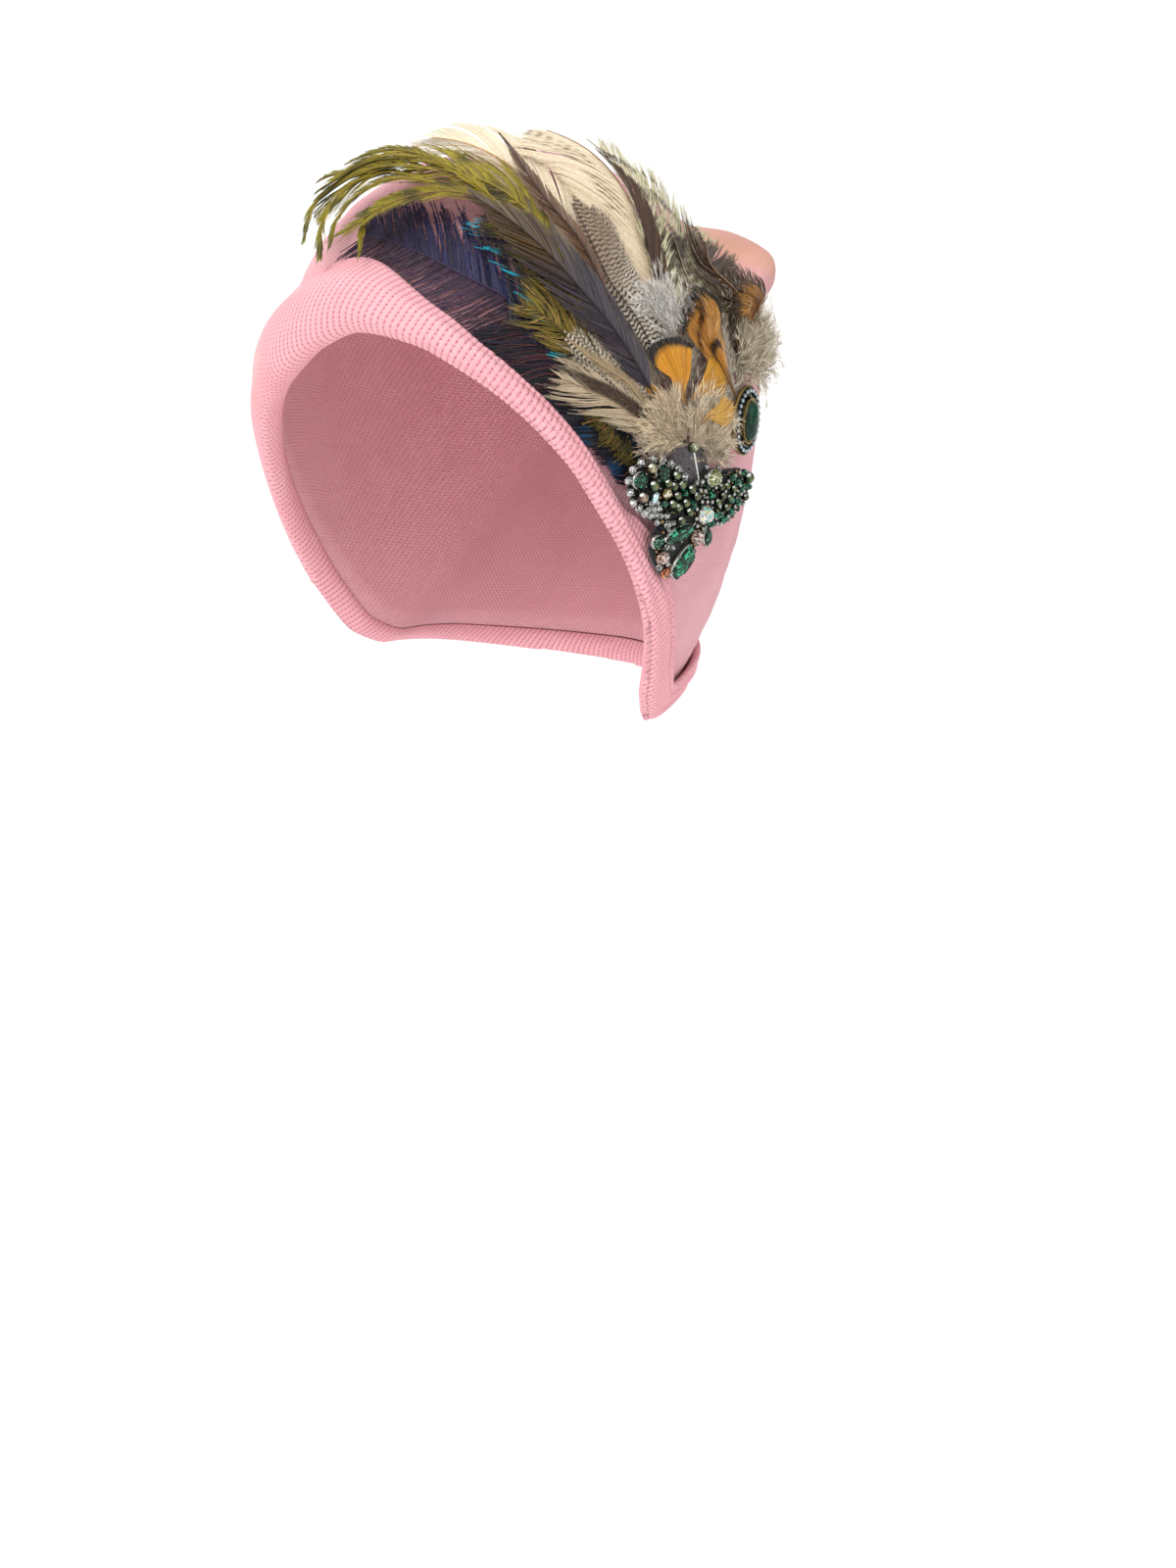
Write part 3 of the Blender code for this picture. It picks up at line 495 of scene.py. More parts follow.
def build_cuff():
    wales = int(round(rim_stations(8)[1]/WALE/2)*2)
    per = 4
    count = wales*per
    at, _ = rim_stations(count)
    cols = {c: rim_rows(at, c) for c in (2, 3, 4)}
    outer_n, inner_n = 48, 9
    # a smooth section at a few stations, blended round the rim
    fine = np.linspace(0, 1, 240)
    lines = np.zeros((count, 240, 2))
    for i in range(0, count):
        lines[i] = catmull(cuff_line(cols[2][i], cols[3][i], cols[4][i]), fine)
    seg = np.linalg.norm(np.diff(lines, axis=1), axis=2)
    run = np.concatenate([np.zeros((count, 1)), np.cumsum(seg, axis=1)], axis=1)
    d = np.gradient(lines, axis=1)
    d /= np.linalg.norm(d, axis=2, keepdims=True)
    n = np.stack([-d[..., 1], d[..., 0]], -1)

    def sample(side, m):
        s = np.linspace(0, 1, m)
        out, nn, vv = np.zeros((count, m, 2)), np.zeros((count, m, 2)), np.zeros((count, m))
        for i in range(count):
            for k in range(2):
                out[i, :, k] = np.interp(s*run[i, -1], run[i], lines[i, :, k])
                nn[i, :, k] = np.interp(s*run[i, -1], run[i], n[i, :, k])
            vv[i] = s*run[i, -1]
        nn /= np.linalg.norm(nn, axis=2, keepdims=True)
        return out, nn*side, vv

    half = CUFF_WALL/2
    oc, on, ov = sample(1.0, outer_n)
    ic, inn, iv = sample(-1.0, inner_n)
    wale_phase = (np.arange(count) % per)/per
    ridge = 0.5+0.5*np.cos((wale_phase)*2*np.pi+np.pi)      # 0 at the groove, 1 on the rib
    wob = 0.25*np.sin(np.arange(count)/count*2*np.pi*7+1.3)+0.2*np.sin(np.arange(count)/count*2*np.pi*17)
    s = np.linspace(0, 1, outer_n)[None, :]
    fade = np.clip(np.minimum(s, 1-s)*14, 0, 1)
    lift = half-0.35+0.32*ridge[:, None]*fade
    lift = lift+0.35*wob[:, None]*np.sin(s*np.pi)+0.22*np.sin(s*19+np.arange(count)[:, None]*0.031)*fade
    outer = oc+on*lift[..., None]
    inner = ic+inn*(half-0.2)
    section = np.concatenate([outer, inner[:, ::-1]], axis=1)
    m = section.shape[1]
    a = np.repeat(at[:, None], m, 1)
    dirs = rib(a.ravel(), section[..., 0].ravel())
    p = shell(dirs)+normal(dirs)*section[..., 1].ravel()[:, None]
    faces = grid_faces(count+1, m, close=True)
    # the seam needs its own vertices so the pattern's columns count on
    p = p.reshape(count, m, 3)
    p = np.concatenate([p, p[:1]], axis=0).reshape(-1, 3)
    uu = np.repeat((np.arange(count+1)/per)[:, None], m, 1)
    vv = np.concatenate([ov, iv[:, ::-1]], axis=1)/ROW
    vv = np.concatenate([vv, vv[:1]], axis=0)
    uv = np.stack([uu.ravel(), vv.ravel()], 1)
    grid = p.reshape(count+1, m, 3)[:count, 1:outer_n-1]
    hairs = 9000
    i, j = rng.integers(0, count-1, hairs), rng.integers(0, outer_n-3, hairs)
    a, b = rng.random((hairs, 1)), rng.random((hairs, 1))
    q = grid[i, j]*(1-a)*(1-b)+grid[i+1, j]*a*(1-b)+grid[i, j+1]*(1-a)*b+grid[i+1, j+1]*a*b
    nn = unit(np.cross(grid[i, j+1]-grid[i, j], grid[i+1, j]-grid[i, j]))
    mid = grid.mean(axis=1)[i]
    nn = nn*np.where(((q-mid)*nn).sum(-1, keepdims=True) < 0, -1, 1)
    fuzz("cuff_hairs", q, nn, "knit_pink_cuff", rgb(242, 176, 184), rgb(252, 210, 214), (0.4, 1.3))
    return mesh_object("cuff_knitting", p, faces[:, ::-1], knit_cuff_material(), ("cuff",), uv=uv)


def build_crown():
    count, rows = 520, 96
    at, length = rim_stations(count)
    start = rib(at, np.full(count, CUFF_TUCK))
    pole = np.broadcast_to(POLE, start.shape)
    share = (np.arange(rows)/(rows-1))*0.992
    D = np.stack([between(start, pole, np.full(count, s)) for s in share])          # rows, count, 3
    N = normal(D.reshape(-1, 3)).reshape(D.shape)
    wob = (0.35*np.sin(D[..., 0]*31+D[..., 2]*17)+0.3*np.sin(D[..., 1]*27-D[..., 2]*23+1.0)+0.2*np.sin(D[..., 2]*61+D[..., 0]*43))
    edge = np.clip(np.minimum(share, 0.2)*12, 0, 1)[:, None]
    outer = shell(D)+N*(wob*0.45*edge-0.15)[..., None]
    irows = share[::4]
    Di, Ni = D[::4, ::2], N[::4, ::2]
    inner = shell(Di)-Ni*(CROWN_WALL-0.1)
    gu = length/1.7
    run = np.arccos(np.clip((start*pole).sum(-1), -1, 1))*95
    uu = np.tile((np.arange(count+1)/count*round(gu))[None, :], (rows, 1))
    vv = np.tile((share[:, None]*run.mean()/1.25), (1, count+1))
    outer = np.concatenate([outer, outer[:, :1]], axis=1)
    cap = shell(POLE[None])[0]-0.1*POLE
    v = [outer.reshape(-1, 3), cap[None]]
    f = [grid_faces(rows, count+1)]
    base = rows*(count+1)
    last = (rows-1)*(count+1)+np.arange(count)
    tri = np.stack([last, last+1, np.full(count, base)], 1)
    ic = inner.shape[1]
    inner = np.concatenate([inner, inner[:, :1]], axis=1)
    off = base+1
    v.append(inner.reshape(-1, 3))
    f.append(grid_faces(len(irows), ic+1, offset=off)[:, ::-1])
    # the edge between the two faces, hidden in the cuff
    o0 = np.arange(0, count, 2)
    i0 = off+np.arange(ic)
    tri2 = np.concatenate([np.stack([o0, i0, o0+1], 1), np.stack([o0+1, i0, i0+1], 1), np.stack([o0+1, i0+1, o0+2], 1)])
    uv = np.concatenate([np.stack([uu.ravel(), vv.ravel()], 1), [[0, 0]],
                         np.stack([uu[::4, ::2].ravel(), vv[::4, ::2].ravel()], 1)])
    icap = (shell(POLE[None])-normal(POLE[None])*(CROWN_WALL-0.1))[0]
    v.append(icap[None])
    lasti = off+(len(irows)-1)*(ic+1)+np.arange(ic)
    tri3 = np.stack([lasti+1, lasti, np.full(ic, off+len(inner)*(ic+1))], 1)
    uv = np.concatenate([uv, [[0, 0]]])
    k = 6000
    pick = rng.integers(0, count, k)
    q = between(start[pick], pole[pick], rng.random(k)**1.3*0.95)
    fuzz("crown_hairs", shell(q), normal(q), "knit_pink", rgb(226, 150, 162), rgb(250, 210, 214), (0.4, 1.1))
    return mesh_object("crown_knitting", np.concatenate(v), [np.concatenate(f), np.concatenate([tri, tri2, tri3])],
                       knit_crown_material(), ("crown",), uv=uv)


# ------------------------------------------------------------------ feathers
def lift_share(d):
    return smooth(np.degrees(np.arccos(np.clip(unit(d)@ROOT, -1, 1))), 35, 95)


class Rib:
    """Middle rib of a feather on the form, with room past both ends."""

    def __init__(self, deg, layer, lift):
        self.layer, self.lift = layer, lift
        knots = direction(np.array([r[0] for r in deg], float), np.array([r[1] for r in deg], float))
        fine = np.linspace(0, 1, 240)
        d = unit(catmull(knots, fine))
        p = self.onto(d*100)
        run = np.concatenate([[0], np.cumsum(np.linalg.norm(np.diff(p, axis=0), axis=1))])
        self.length = run[-1]
        even = np.linspace(0, 1, 200)
        p = np.stack([np.interp(even*run[-1], run, p[:, k]) for k in range(3)], 1)
        step = self.length/199
        ahead = unit(p[-1]-p[-6])
        back = unit(p[0]-p[5])
        more = np.arange(1, 61)[:, None]*step
        p = np.vstack([(p[0]+back*more)[::-1], p, p[-1]+ahead*more])
        self.t = (np.arange(len(p))-60)/199
        tan = unit(np.gradient(p, axis=0))
        n = normal(unit(p))
        self.p, self.b = p, unit(np.cross(n, tan))

    def onto(self, p, extra=0.0):
        d = unit(p)
        h = FEATHER_BASE+FEATHER_PITCH*self.layer+self.lift*lift_share(d)+extra
        return d*(radius(d)+h)[..., None]

    def at(self, t, w, extra=0.0):
        """Point at share t along the rib (1 is the tip) and w mm to its left."""
        t = np.asarray(t, float)
        p = np.stack([np.interp(t, self.t, self.p[:, k]) for k in range(3)], -1)
        b = np.stack([np.interp(t, self.t, self.b[:, k]) for k in range(3)], -1)
        return self.onto(p+b*np.asarray(w, float)[..., None], extra)


def ribbons(points, width, tilt=None):
    """Flat strips along rows of points (n, m, 3), facing away from the head."""
    tan = unit(np.gradient(points, axis=1))
    n = unit(points)
    side = unit(np.cross(n, tan))
    if tilt is not None:
        up = unit(np.cross(tan, side))
        side = side*np.cos(tilt)[..., None]+up*np.sin(tilt)[..., None]
    a = points+side*width[..., None]/2
    b = points-side*width[..., None]/2
    v = np.stack([a, b], axis=2)                      # n, m, 2, 3
    count, m = points.shape[:2]
    i = np.arange(count)[:, None]*(2*m)
    j = np.arange(m-1)[None, :]*2
    q = np.stack([i+j, i+j+1, i+j+3, i+j+2], -1).reshape(-1, 4)
    return v.reshape(-1, 3), q


def shaft(r, t0, t1, thick0, thick1, colour, extra=0.25, steps=26):
    """The rib's own quill, five-sided."""
    t = np.linspace(t0, t1, steps)
    p = r.at(t, np.zeros(steps), extra)
    tan = unit(np.gradient(p, axis=0))
    n = unit(p)
    side = unit(np.cross(n, tan))
    up = np.cross(tan, side)
    rad = np.linspace(thick0, thick1, steps)[:, None, None]/2
    a = np.arange(5)/5*2*np.pi
    ring = np.cos(a)[None, :, None]*side[:, None]+np.sin(a)[None, :, None]*up[:, None]
    v = p[:, None]+ring*rad
    return v.reshape(-1, 3), grid_faces(steps, 5, close=True), np.broadcast_to(colour, (steps*5, 3))


def vane(bag, r, left, right, colour, t0=0.0, t1=1.0, count=150, steps=6, angle=(48, 22), hook=0.35,
         outline=None, camber=0.5, splits=0.25, tatter=0.06, wide=1.25, tilt=0.35, quill=(0.9, 0.25), quill_colour=None,
         extra=0.0, sides=(1, -1), over=3.0, droop=0.0, slant=0.25):
    """Barbs either side of a rib, close enough to read as a vane, with splits."""
    out = outline or (lambda t: 0.25+0.75*smooth(t, 0.0, 0.3)*(1-smooth(t, 0.6, 1.0)**1.5))
    for side in sides:
        w_max = left if side > 0 else right
        if w_max <= 0:
            continue
        t = np.linspace(t0, t1, count)+rng.normal(0, 0.25/count, count)
        share = (t-t0)/(t1-t0)
        w = w_max*out(share)*(1+rng.normal(0, tatter, count))
        w = np.maximum(w, 0.3)
        group = np.cumsum(rng.random(count) < splits*0.35)
        push = rng.normal(0, 1, group.max()+1)[group]
        ang = np.radians(angle[0]+(angle[1]-angle[0])*share+push*splits*7)
        run = w/np.tan(np.clip(ang, 0.12, 1.5))
        cut = np.clip(((1-t)*r.length+over*(1+rng.normal(0, 0.35, count)))/run, 0.12, 1.0)
        run, w = run*cut, w*cut**0.8
        s = np.linspace(0, 1, steps)[None, :]
        x = run[:, None]*(s+hook*s**2)/(1+hook)
        y = side*w[:, None]*(s*(1+0.35*hook)-0.35*hook*s**2)
        up = extra-droop*(s**2)*share[:, None]+camber*(s**2)*(w[:, None]/max(w_max, 1e-3))+0.12*push[:, None]*s+rng.normal(0, 0.07, count)[:, None]*s
        pts = r.at(t[:, None]+x/r.length, y, up)
        gap = r.length*(t1-t0)/count
        width = gap*wide*(1-0.55*s**3)*np.ones((count, 1))*np.clip(np.sin(ang)[:, None]+0.25, 0.3, 1.1)
        lean = (rng.normal(0, tilt, count)[:, None]+slant*side)*np.ones((1, steps))
        v, f = ribbons(pts, width, lean)
        rand = rng.random(count)
        c = colour(np.repeat(share[:, None], steps, 1), np.repeat(s, count, 0), side, rand[:, None], pts, np.abs(y), x)
        c = np.broadcast_to(c, (count, steps, 3))
        bag.add(v, f, np.repeat(c[:, :, None], 2, axis=2).reshape(-1, 3))
    if quill:
        qc = quill_colour if quill_colour is not None else rgb(120, 95, 70)
        v, f, c = shaft(r, max(t0-0.03, -0.25), t1, quill[0], quill[1], qc, extra+0.25)
        bag.add(v, f, c)


def ostrich(bag, r, left, right, colour, t0=0.0, t1=1.0, count=80, steps=9, angle=(60, 30), hook=0.6, barbule=2.0,
            per=26, core=0.34, tatter=0.12, extra=0.0, outline=None, quill=(1.1, 0.3), quill_colour=None, sides=(1, -1),
            fluff=1.0, droop=0.0, over=6.0):
    """Loose barbs with barbules, as on an ostrich plume."""
    out = outline or (lambda t: 0.5+0.5*np.sin(np.pi*np.clip(t, 0, 1))**0.7)
    for side in sides:
        w_max = left if side > 0 else right
        if w_max <= 0:
            continue
        t = np.linspace(t0, t1, count)+rng.normal(0, 0.3/count, count)
        share = (t-t0)/(t1-t0)
        w = np.maximum(w_max*out(share)*(1+rng.normal(0, tatter, count)), 1.0)
        ang = np.radians(angle[0]+(angle[1]-angle[0])*share+rng.normal(0, 4, count))
        run = w/np.tan(np.clip(ang, 0.12, 1.5))
        cut = np.clip(((1-t)*r.length+over*(1+rng.normal(0, 0.35, count)))/run, 0.2, 1.0)
        run, w = run*cut, w*cut**0.7
        s = np.linspace(0, 1, steps)[None, :]
        x = run[:, None]*(s+hook*s**2)/(1+hook)
        y = side*w[:, None]*(s*(1+0.3*hook)-0.3*hook*s**2)
        wave = rng.normal(0, 0.35, count)[:, None]*np.sin(s*5+rng.random(count)[:, None]*6)*s
        up = extra+0.4*s+rng.normal(0, 0.45, count)[:, None]*s*fluff-droop*s**2
        pts = r.at(t[:, None]+(x+wave)/r.length, y+wave*0.6, up)
        width = core*(1-0.6*s)*np.ones((count, 1))
        lean = rng.normal(0, 0.28, count)[:, None]*np.ones((1, steps))
        v, f = ribbons(pts, width, lean)
        rand = rng.random(count)
        c = colour(np.repeat(share[:, None], steps, 1), np.repeat(s, count, 0), side, rand[:, None], pts, np.abs(y), x)
        c = np.broadcast_to(c, (count, steps, 3))
        bag.add(v, f, np.repeat(c[:, :, None], 2, axis=2).reshape(-1, 3))
        if barbule > 0 and per > 0:
            k = rng.random((count, per))
            pos = k*(steps-1)
            i = np.clip(pos.astype(int), 0, steps-2)
            fr = (pos-i)[..., None]
            row = np.arange(count)[:, None]
            p0 = pts[row, i]*(1-fr)+pts[row, i+1]*fr
            tan = unit(pts[row, i+1]-pts[row, i])
            n = unit(p0)
            sd = np.cross(n, tan)*np.where(rng.random((count, per)) < 0.5, 1, -1)[..., None]
            ln = barbule*(0.5+0.6*rng.random((count, per)))[..., None]
            mid = p0+tan*ln*0.55+sd*ln*0.30+n*rng.normal(0.05, 0.18, (count, per))[..., None]*ln*0.5
            end = p0+tan*ln*1.15+sd*ln*0.42+n*rng.normal(0.1, 0.3, (count, per))[..., None]*ln*0.6
            strip = np.stack([p0, mid, end], axis=2).reshape(-1, 3, 3)
            wd = np.repeat(np.array([[0.16, 0.12, 0.05]]), len(strip), 0)
            v, f = ribbons(strip, wd, rng.normal(0, 0.6, len(strip))[:, None]*np.ones((1, 3)))
            cb = (c[row, i]*(0.75+0.6*rng.random((count, per, 1)))).reshape(-1, 3)
            bag.add(v, f, np.repeat(cb[:, None], 6, axis=1).reshape(-1, 3))
    if quill:
        qc = quill_colour if quill_colour is not None else rgb(60, 45, 70)
        v, f, c = shaft(r, t0-0.02, t1, quill[0], quill[1], qc, extra+0.3)
        bag.add(v, f, c)


def fan(bag, r, width, colour, count=150, steps=12, spread=78, foot=0.5, shoulder=0.58, lean=0.0, camber=1.0, edge=0.02,
        quill_colour=None, extra=0.0, wide=1.5, back=0.0):
    """A short feather with a round end: barbs run out from the rib to an arc."""
    phi = np.radians(np.linspace(-spread, spread, count)+rng.normal(0, 60/count, count))
    L = r.length
    rel = np.abs(phi)/math.radians(spread)
    x1 = L*(shoulder+(1-shoulder)*np.cos(phi*90/spread))*(1+rng.normal(0, edge, count))-back*L*rel**3
    y1 = width/2*np.sin(phi*90/spread)*(1+rng.normal(0, edge, count))+lean*width*np.cos(phi)
    x0 = L*foot*np.clip(1-rel, 0, 1)**0.8*0.9
    s = np.linspace(0, 1, steps)[None, :]
    x = x0[:, None]+(x1-x0)[:, None]*(s*1.15-0.15*s**2)
    y = y1[:, None]*(0.75*s+0.25*s**2)
    up = extra+camber*(1-(y/(width/2))**2)*s-0.4*s**2+rng.normal(0, 0.05, count)[:, None]*s
    pts = r.at(x/L, y, up)
    gap = math.pi*width/2/count
    wd = np.maximum(gap*wide*(0.35+0.75*s), 0.14)*np.ones((count, 1))
    v, f = ribbons(pts, wd, rng.normal(0, 0.25, count)[:, None]*np.ones((1, steps)))
    c = colour(x/L, s*np.ones((count, 1)), np.sign(phi)[:, None], rng.random(count)[:, None]*np.ones((1, steps)), pts, y, phi[:, None])
    bag.add(v, f, np.repeat(c[:, :, None], 2, axis=2).reshape(-1, 3))
    qc = quill_colour if quill_colour is not None else rgb(120, 76, 24)
    v, f, c = shaft(r, -0.1, foot+0.25, 0.55, 0.2, qc, extra+camber*0.6+0.35)
    bag.add(v, f, c)


def down(bag, r, left, right, colour, count=220, t_root=(-0.1, 0.45), reach=(9, 17), rise=(1.0, 5.0), spread=0.55,
         hair=3.0, per=20, core=0.16, steps=7):
    """Soft tufts that start along the root of a rib and fan out over it, each with fine side hairs."""
    t = t_root[0]+(t_root[1]-t_root[0])*rng.random(count)
    w = rng.uniform(-right, left, count)*0.8
    ang = rng.normal(0, spread, count)+w/max(left, right)*0.5
    ln = rng.uniform(reach[0], reach[1], count)[:, None]
    s = np.linspace(0, 1, steps)[None, :]
    bend = rng.normal(0, 1.0, count)[:, None]
    x = ln*(np.cos(ang)[:, None]*s-0.12*np.abs(bend)*s**2)
    y = w[:, None]+ln*(np.sin(ang)[:, None]*s+0.2*bend*s**2)
    top = rng.uniform(rise[0], rise[1], count)[:, None]
    up = 0.3+top*np.sin(s*np.pi*0.72)
    pts = r.at(t[:, None]+x/r.length, y, up)
    v, f = ribbons(pts, core*(1-0.6*s)*np.ones((count, 1)), rng.normal(0, 0.5, count)[:, None]*np.ones((1, steps)))
    rnd = rng.random(count)[:, None]
    c = colour(rnd*np.ones((1, steps)), s*np.ones((count, 1)), top/rise[1])
    bag.add(v, f, np.repeat(c[:, :, None], 2, axis=2).reshape(-1, 3))
    k = rng.random((count, per))**0.8
    pos = k*(steps-1)
    i = np.clip(pos.astype(int), 0, steps-2)
    fr = (pos-i)[..., None]
    row = np.arange(count)[:, None]
    p0 = pts[row, i]*(1-fr)+pts[row, i+1]*fr
    tan = unit(pts[row, i+1]-pts[row, i])
    n = unit(p0)
    sd = np.cross(n, tan)*np.where(rng.random((count, per)) < 0.5, 1, -1)[..., None]
    size = (hair*(0.45+0.75*rng.random((count, per)))*(1-0.35*k))[..., None]
    rise_n = rng.normal(0.05, 0.16, (count, per))[..., None]
    mid = p0+tan*size*0.55+sd*size*0.24+n*rise_n*size
    end = p0+tan*size*1.2+sd*size*0.36+n*rise_n*size*1.4
    strip = np.stack([p0, mid, end], axis=2).reshape(-1, 3, 3)
    v, f = ribbons(strip, np.repeat(np.array([[0.17, 0.13, 0.06]]), len(strip), 0), rng.normal(0, 0.6, len(strip))[:, None]*np.ones((1, 3)))
    cb = colour(np.clip(rnd*0.7+0.4*rng.random((count, per))-0.05, 0, 1), k, top/rise[1])
    cb = cb*(0.62+0.7*rng.random((count, per, 1)))
    bag.add(v, f, np.repeat(cb.reshape(-1, 3)[:, None], 6, axis=1).reshape(-1, 3))


def feather_material(name, rough=0.5, sheen=0.0, spec=0.35, grain=0.18, coat=0.0):
    k = Mat(name, rough=rough, sheen=sheen, sheen_rough=0.4, spec=spec, coat=coat, coat_rough=0.25)
    c = k.colour_attr()
    n = k.noise(900, 2, 0.5)
    dark = k.mix(1.0, c, rgb(120, 112, 104), "MULTIPLY")
    k.base(k.mix(n.ramp(0.35, 0.7)*grain, c, dark))
    return k.m


def tone(a, b, x):
    x = np.asarray(x, float)[..., None]
    return np.asarray(a)*(1-x)+np.asarray(b)*x


def wavy(pts, seed, scale):
    """A smooth value from -1 to 1 that drifts over the head."""
    g = np.random.default_rng(seed)
    total = 0
    for _ in range(4):
        k = g.normal(0, 1, 3)
        total = total+np.sin((pts@k)/scale+g.random()*6.3)
    return total/4


def deg(*rows):
    return rows


ROWS = {
    "ostrich_navy": (0, 0.5, deg((63, -2), (50, 17), (37, 32), (21, 39), (-12, 46))),
    "ostrich_teal": (1, 0.0, deg((64, -5), (57, 5), (49, 14), (43, 22), (34, 29))),
    "plume_olive": (3, 9.0, deg((53, 29), (38, 51), (14, 57), (-12, 55.5), (-22.5, 45))),
    "plume_olive_low": (4, 9.0, deg((39, 46), (26, 51), (14, 51), (2, 47), (-6, 41))),
    "peacock_edge": (2, 2.0, deg((66, 5), (54, 23), (45, 36), (37, 46), (29, 51))),
    "olive_tuft": (3, 2.0, deg((62, 12), (53, 22), (46, 27), (42, 30), (37, 32))),
    "olive_base": (2, 0.0, deg((64, -4), (62, -1), (59, 2), (56, 5), (53, 9))),
    "cream_left": (1, 8.5, deg((63, 31), (56, 42), (47, 54), (31, 64), (-8, 70))),
    "cream_right": (2, 8.5, deg((74, 32), (78, 46), (81, 58), (79, 68), (65, 75))),
    "brown_pointed": (5, 9.0, deg((57, 36), (53, 44), (46, 51), (40, 58), (31, 68))),
    "barred_fine": (4, 9.0, deg((69, 24), (65, 31), (60, 37), (57, 44), (54, 52))),
    "barred_low": (5, 3.0, deg((65, 11), (61, 16), (56, 19), (51, 22), (47, 25))),
    "slate_glossy": (6, 9.0, deg((65, 17), (59, 26), (50, 35), (40, 43), (25, 50))),
    "green_mottled_a": (3, 9.0, deg((78, 34), (79, 43), (82, 51), (85, 58), (86, 67))),
    "green_mottled_b": (1, 9.0, deg((83, 29), (85, 37), (90, 45), (96, 52), (102, 60))),
    "green_mottled_c": (0, 9.0, deg((89, 27), (88, 32), (92, 38), (99, 42), (113, 46))),
    "vermiculated": (2, 9.0, deg((93, 25), (91, 30), (88, 35), (90, 40), (93, 45))),
    "dark_edge_a": (1, 9.0, deg((99, 23), (98, 27), (96, 32), (98, 37), (104, 41))),
    "dark_edge_b": (0, 9.0, deg((107, 23), (106, 26), (102, 29), (101, 32), (102, 36))),
    "golden_fan": (5, 9.0, deg((76, 10), (75, 14), (75, 17), (74, 21), (74, 24))),
    "golden_b": (3, 9.0, deg((92, 12), (89, 17), (86, 22), (84, 27), (81, 31))),
    "golden_c": (4, 9.0, deg((78, 11), (80, 12), (83, 13), (86, 14), (89, 15))),
    "golden_d": (5, 9.0, deg((79, 6), (81, 7), (83, 7), (86, 7), (89, 8))),
    "golden_narrow": (3, 9.0, deg((108, 19), (106, 22), (104, 24), (100, 27), (95, 30))),
    "golden_thin": (3, 9.0, deg((77, 6), (75, 8), (72, 11), (70, 13), (67, 15))),
    "striped_a": (4, 0.0, deg((64, 11), (59, 14), (55, 17), (51, 19), (47, 20))),
    "striped_b": (6, 0.0, deg((66, 6), (60, 10), (55, 13), (50, 15), (45, 17))),
    "fluff_white": (5, 9.0, deg((79, 26), (77, 29), (76, 32), (75, 35), (74, 38))),
    "fluff_left": (7, 9.0, deg((75, 1), (73, 3), (69, 5), (66, 7), (63, 9))),
    "fluff_mid": (7, 9.0, deg((81, -1), (82, 2), (84, 5), (85, 8), (88, 11))),
    "fluff_right": (4, 9.0, deg((97, 14), (100, 15), (105, 17), (109, 18), (112, 20))),
}


STRANDS = (         # the long tips of the olive plume: layer, lift, path, half width
    (4, 9.0, deg((9.7, 58), (-3.8, 57.9), (-14.2, 56.4), (-26.6, 54.5), (-46, 52.4)), 1.8),
    (4, 9.0, deg((8.2, 56.2), (-6.5, 56.1), (-20.2, 52.8), (-25.2, 46.6), (-19.2, 39.4)), 2.3),
    (3, 9.0, deg((6.3, 54.7), (-5.8, 55.2), (-16.4, 51.4), (-17.4, 44.4), (-11.2, 36.3)), 2.2),
    (5, 9.0, deg((10.6, 52.7), (0.7, 52.5), (-6.9, 48.9), (-9.5, 43.6), (-7.9, 37.9)), 1.6),
    (4, 7.0, deg((17.2, 52.5), (8, 51.8), (-0.2, 49.1), (-2.7, 43.9), (-0.8, 37.5)), 1.3),
    (5, 9.0, deg((0.9, 58.4), (-8.9, 58.2), (-17.7, 56.4), (-22.5, 52.2), (-27.4, 49.3)), 2.2),
    (4, 9.0, deg((26.5, 53), (15.5, 57.4), (-0.2, 60.4), (-16.8, 60.9), (-29.3, 57.3)), 2.4),
)
UNDER = (           # down that fills in below the short feathers
    (1.6, 9.0, deg((83, 3.4), (78.3, 10.5), (76.3, 17.1), (76.4, 25), (75, 33.4))),
    (1.6, 9.0, deg((96.6, 4.4), (98.5, 10.5), (97.2, 17), (96.6, 23), (94, 28.6))),
)


def rib_of(name):
    layer, lift, rows = ROWS[name]
    return Rib(rows, layer, lift)


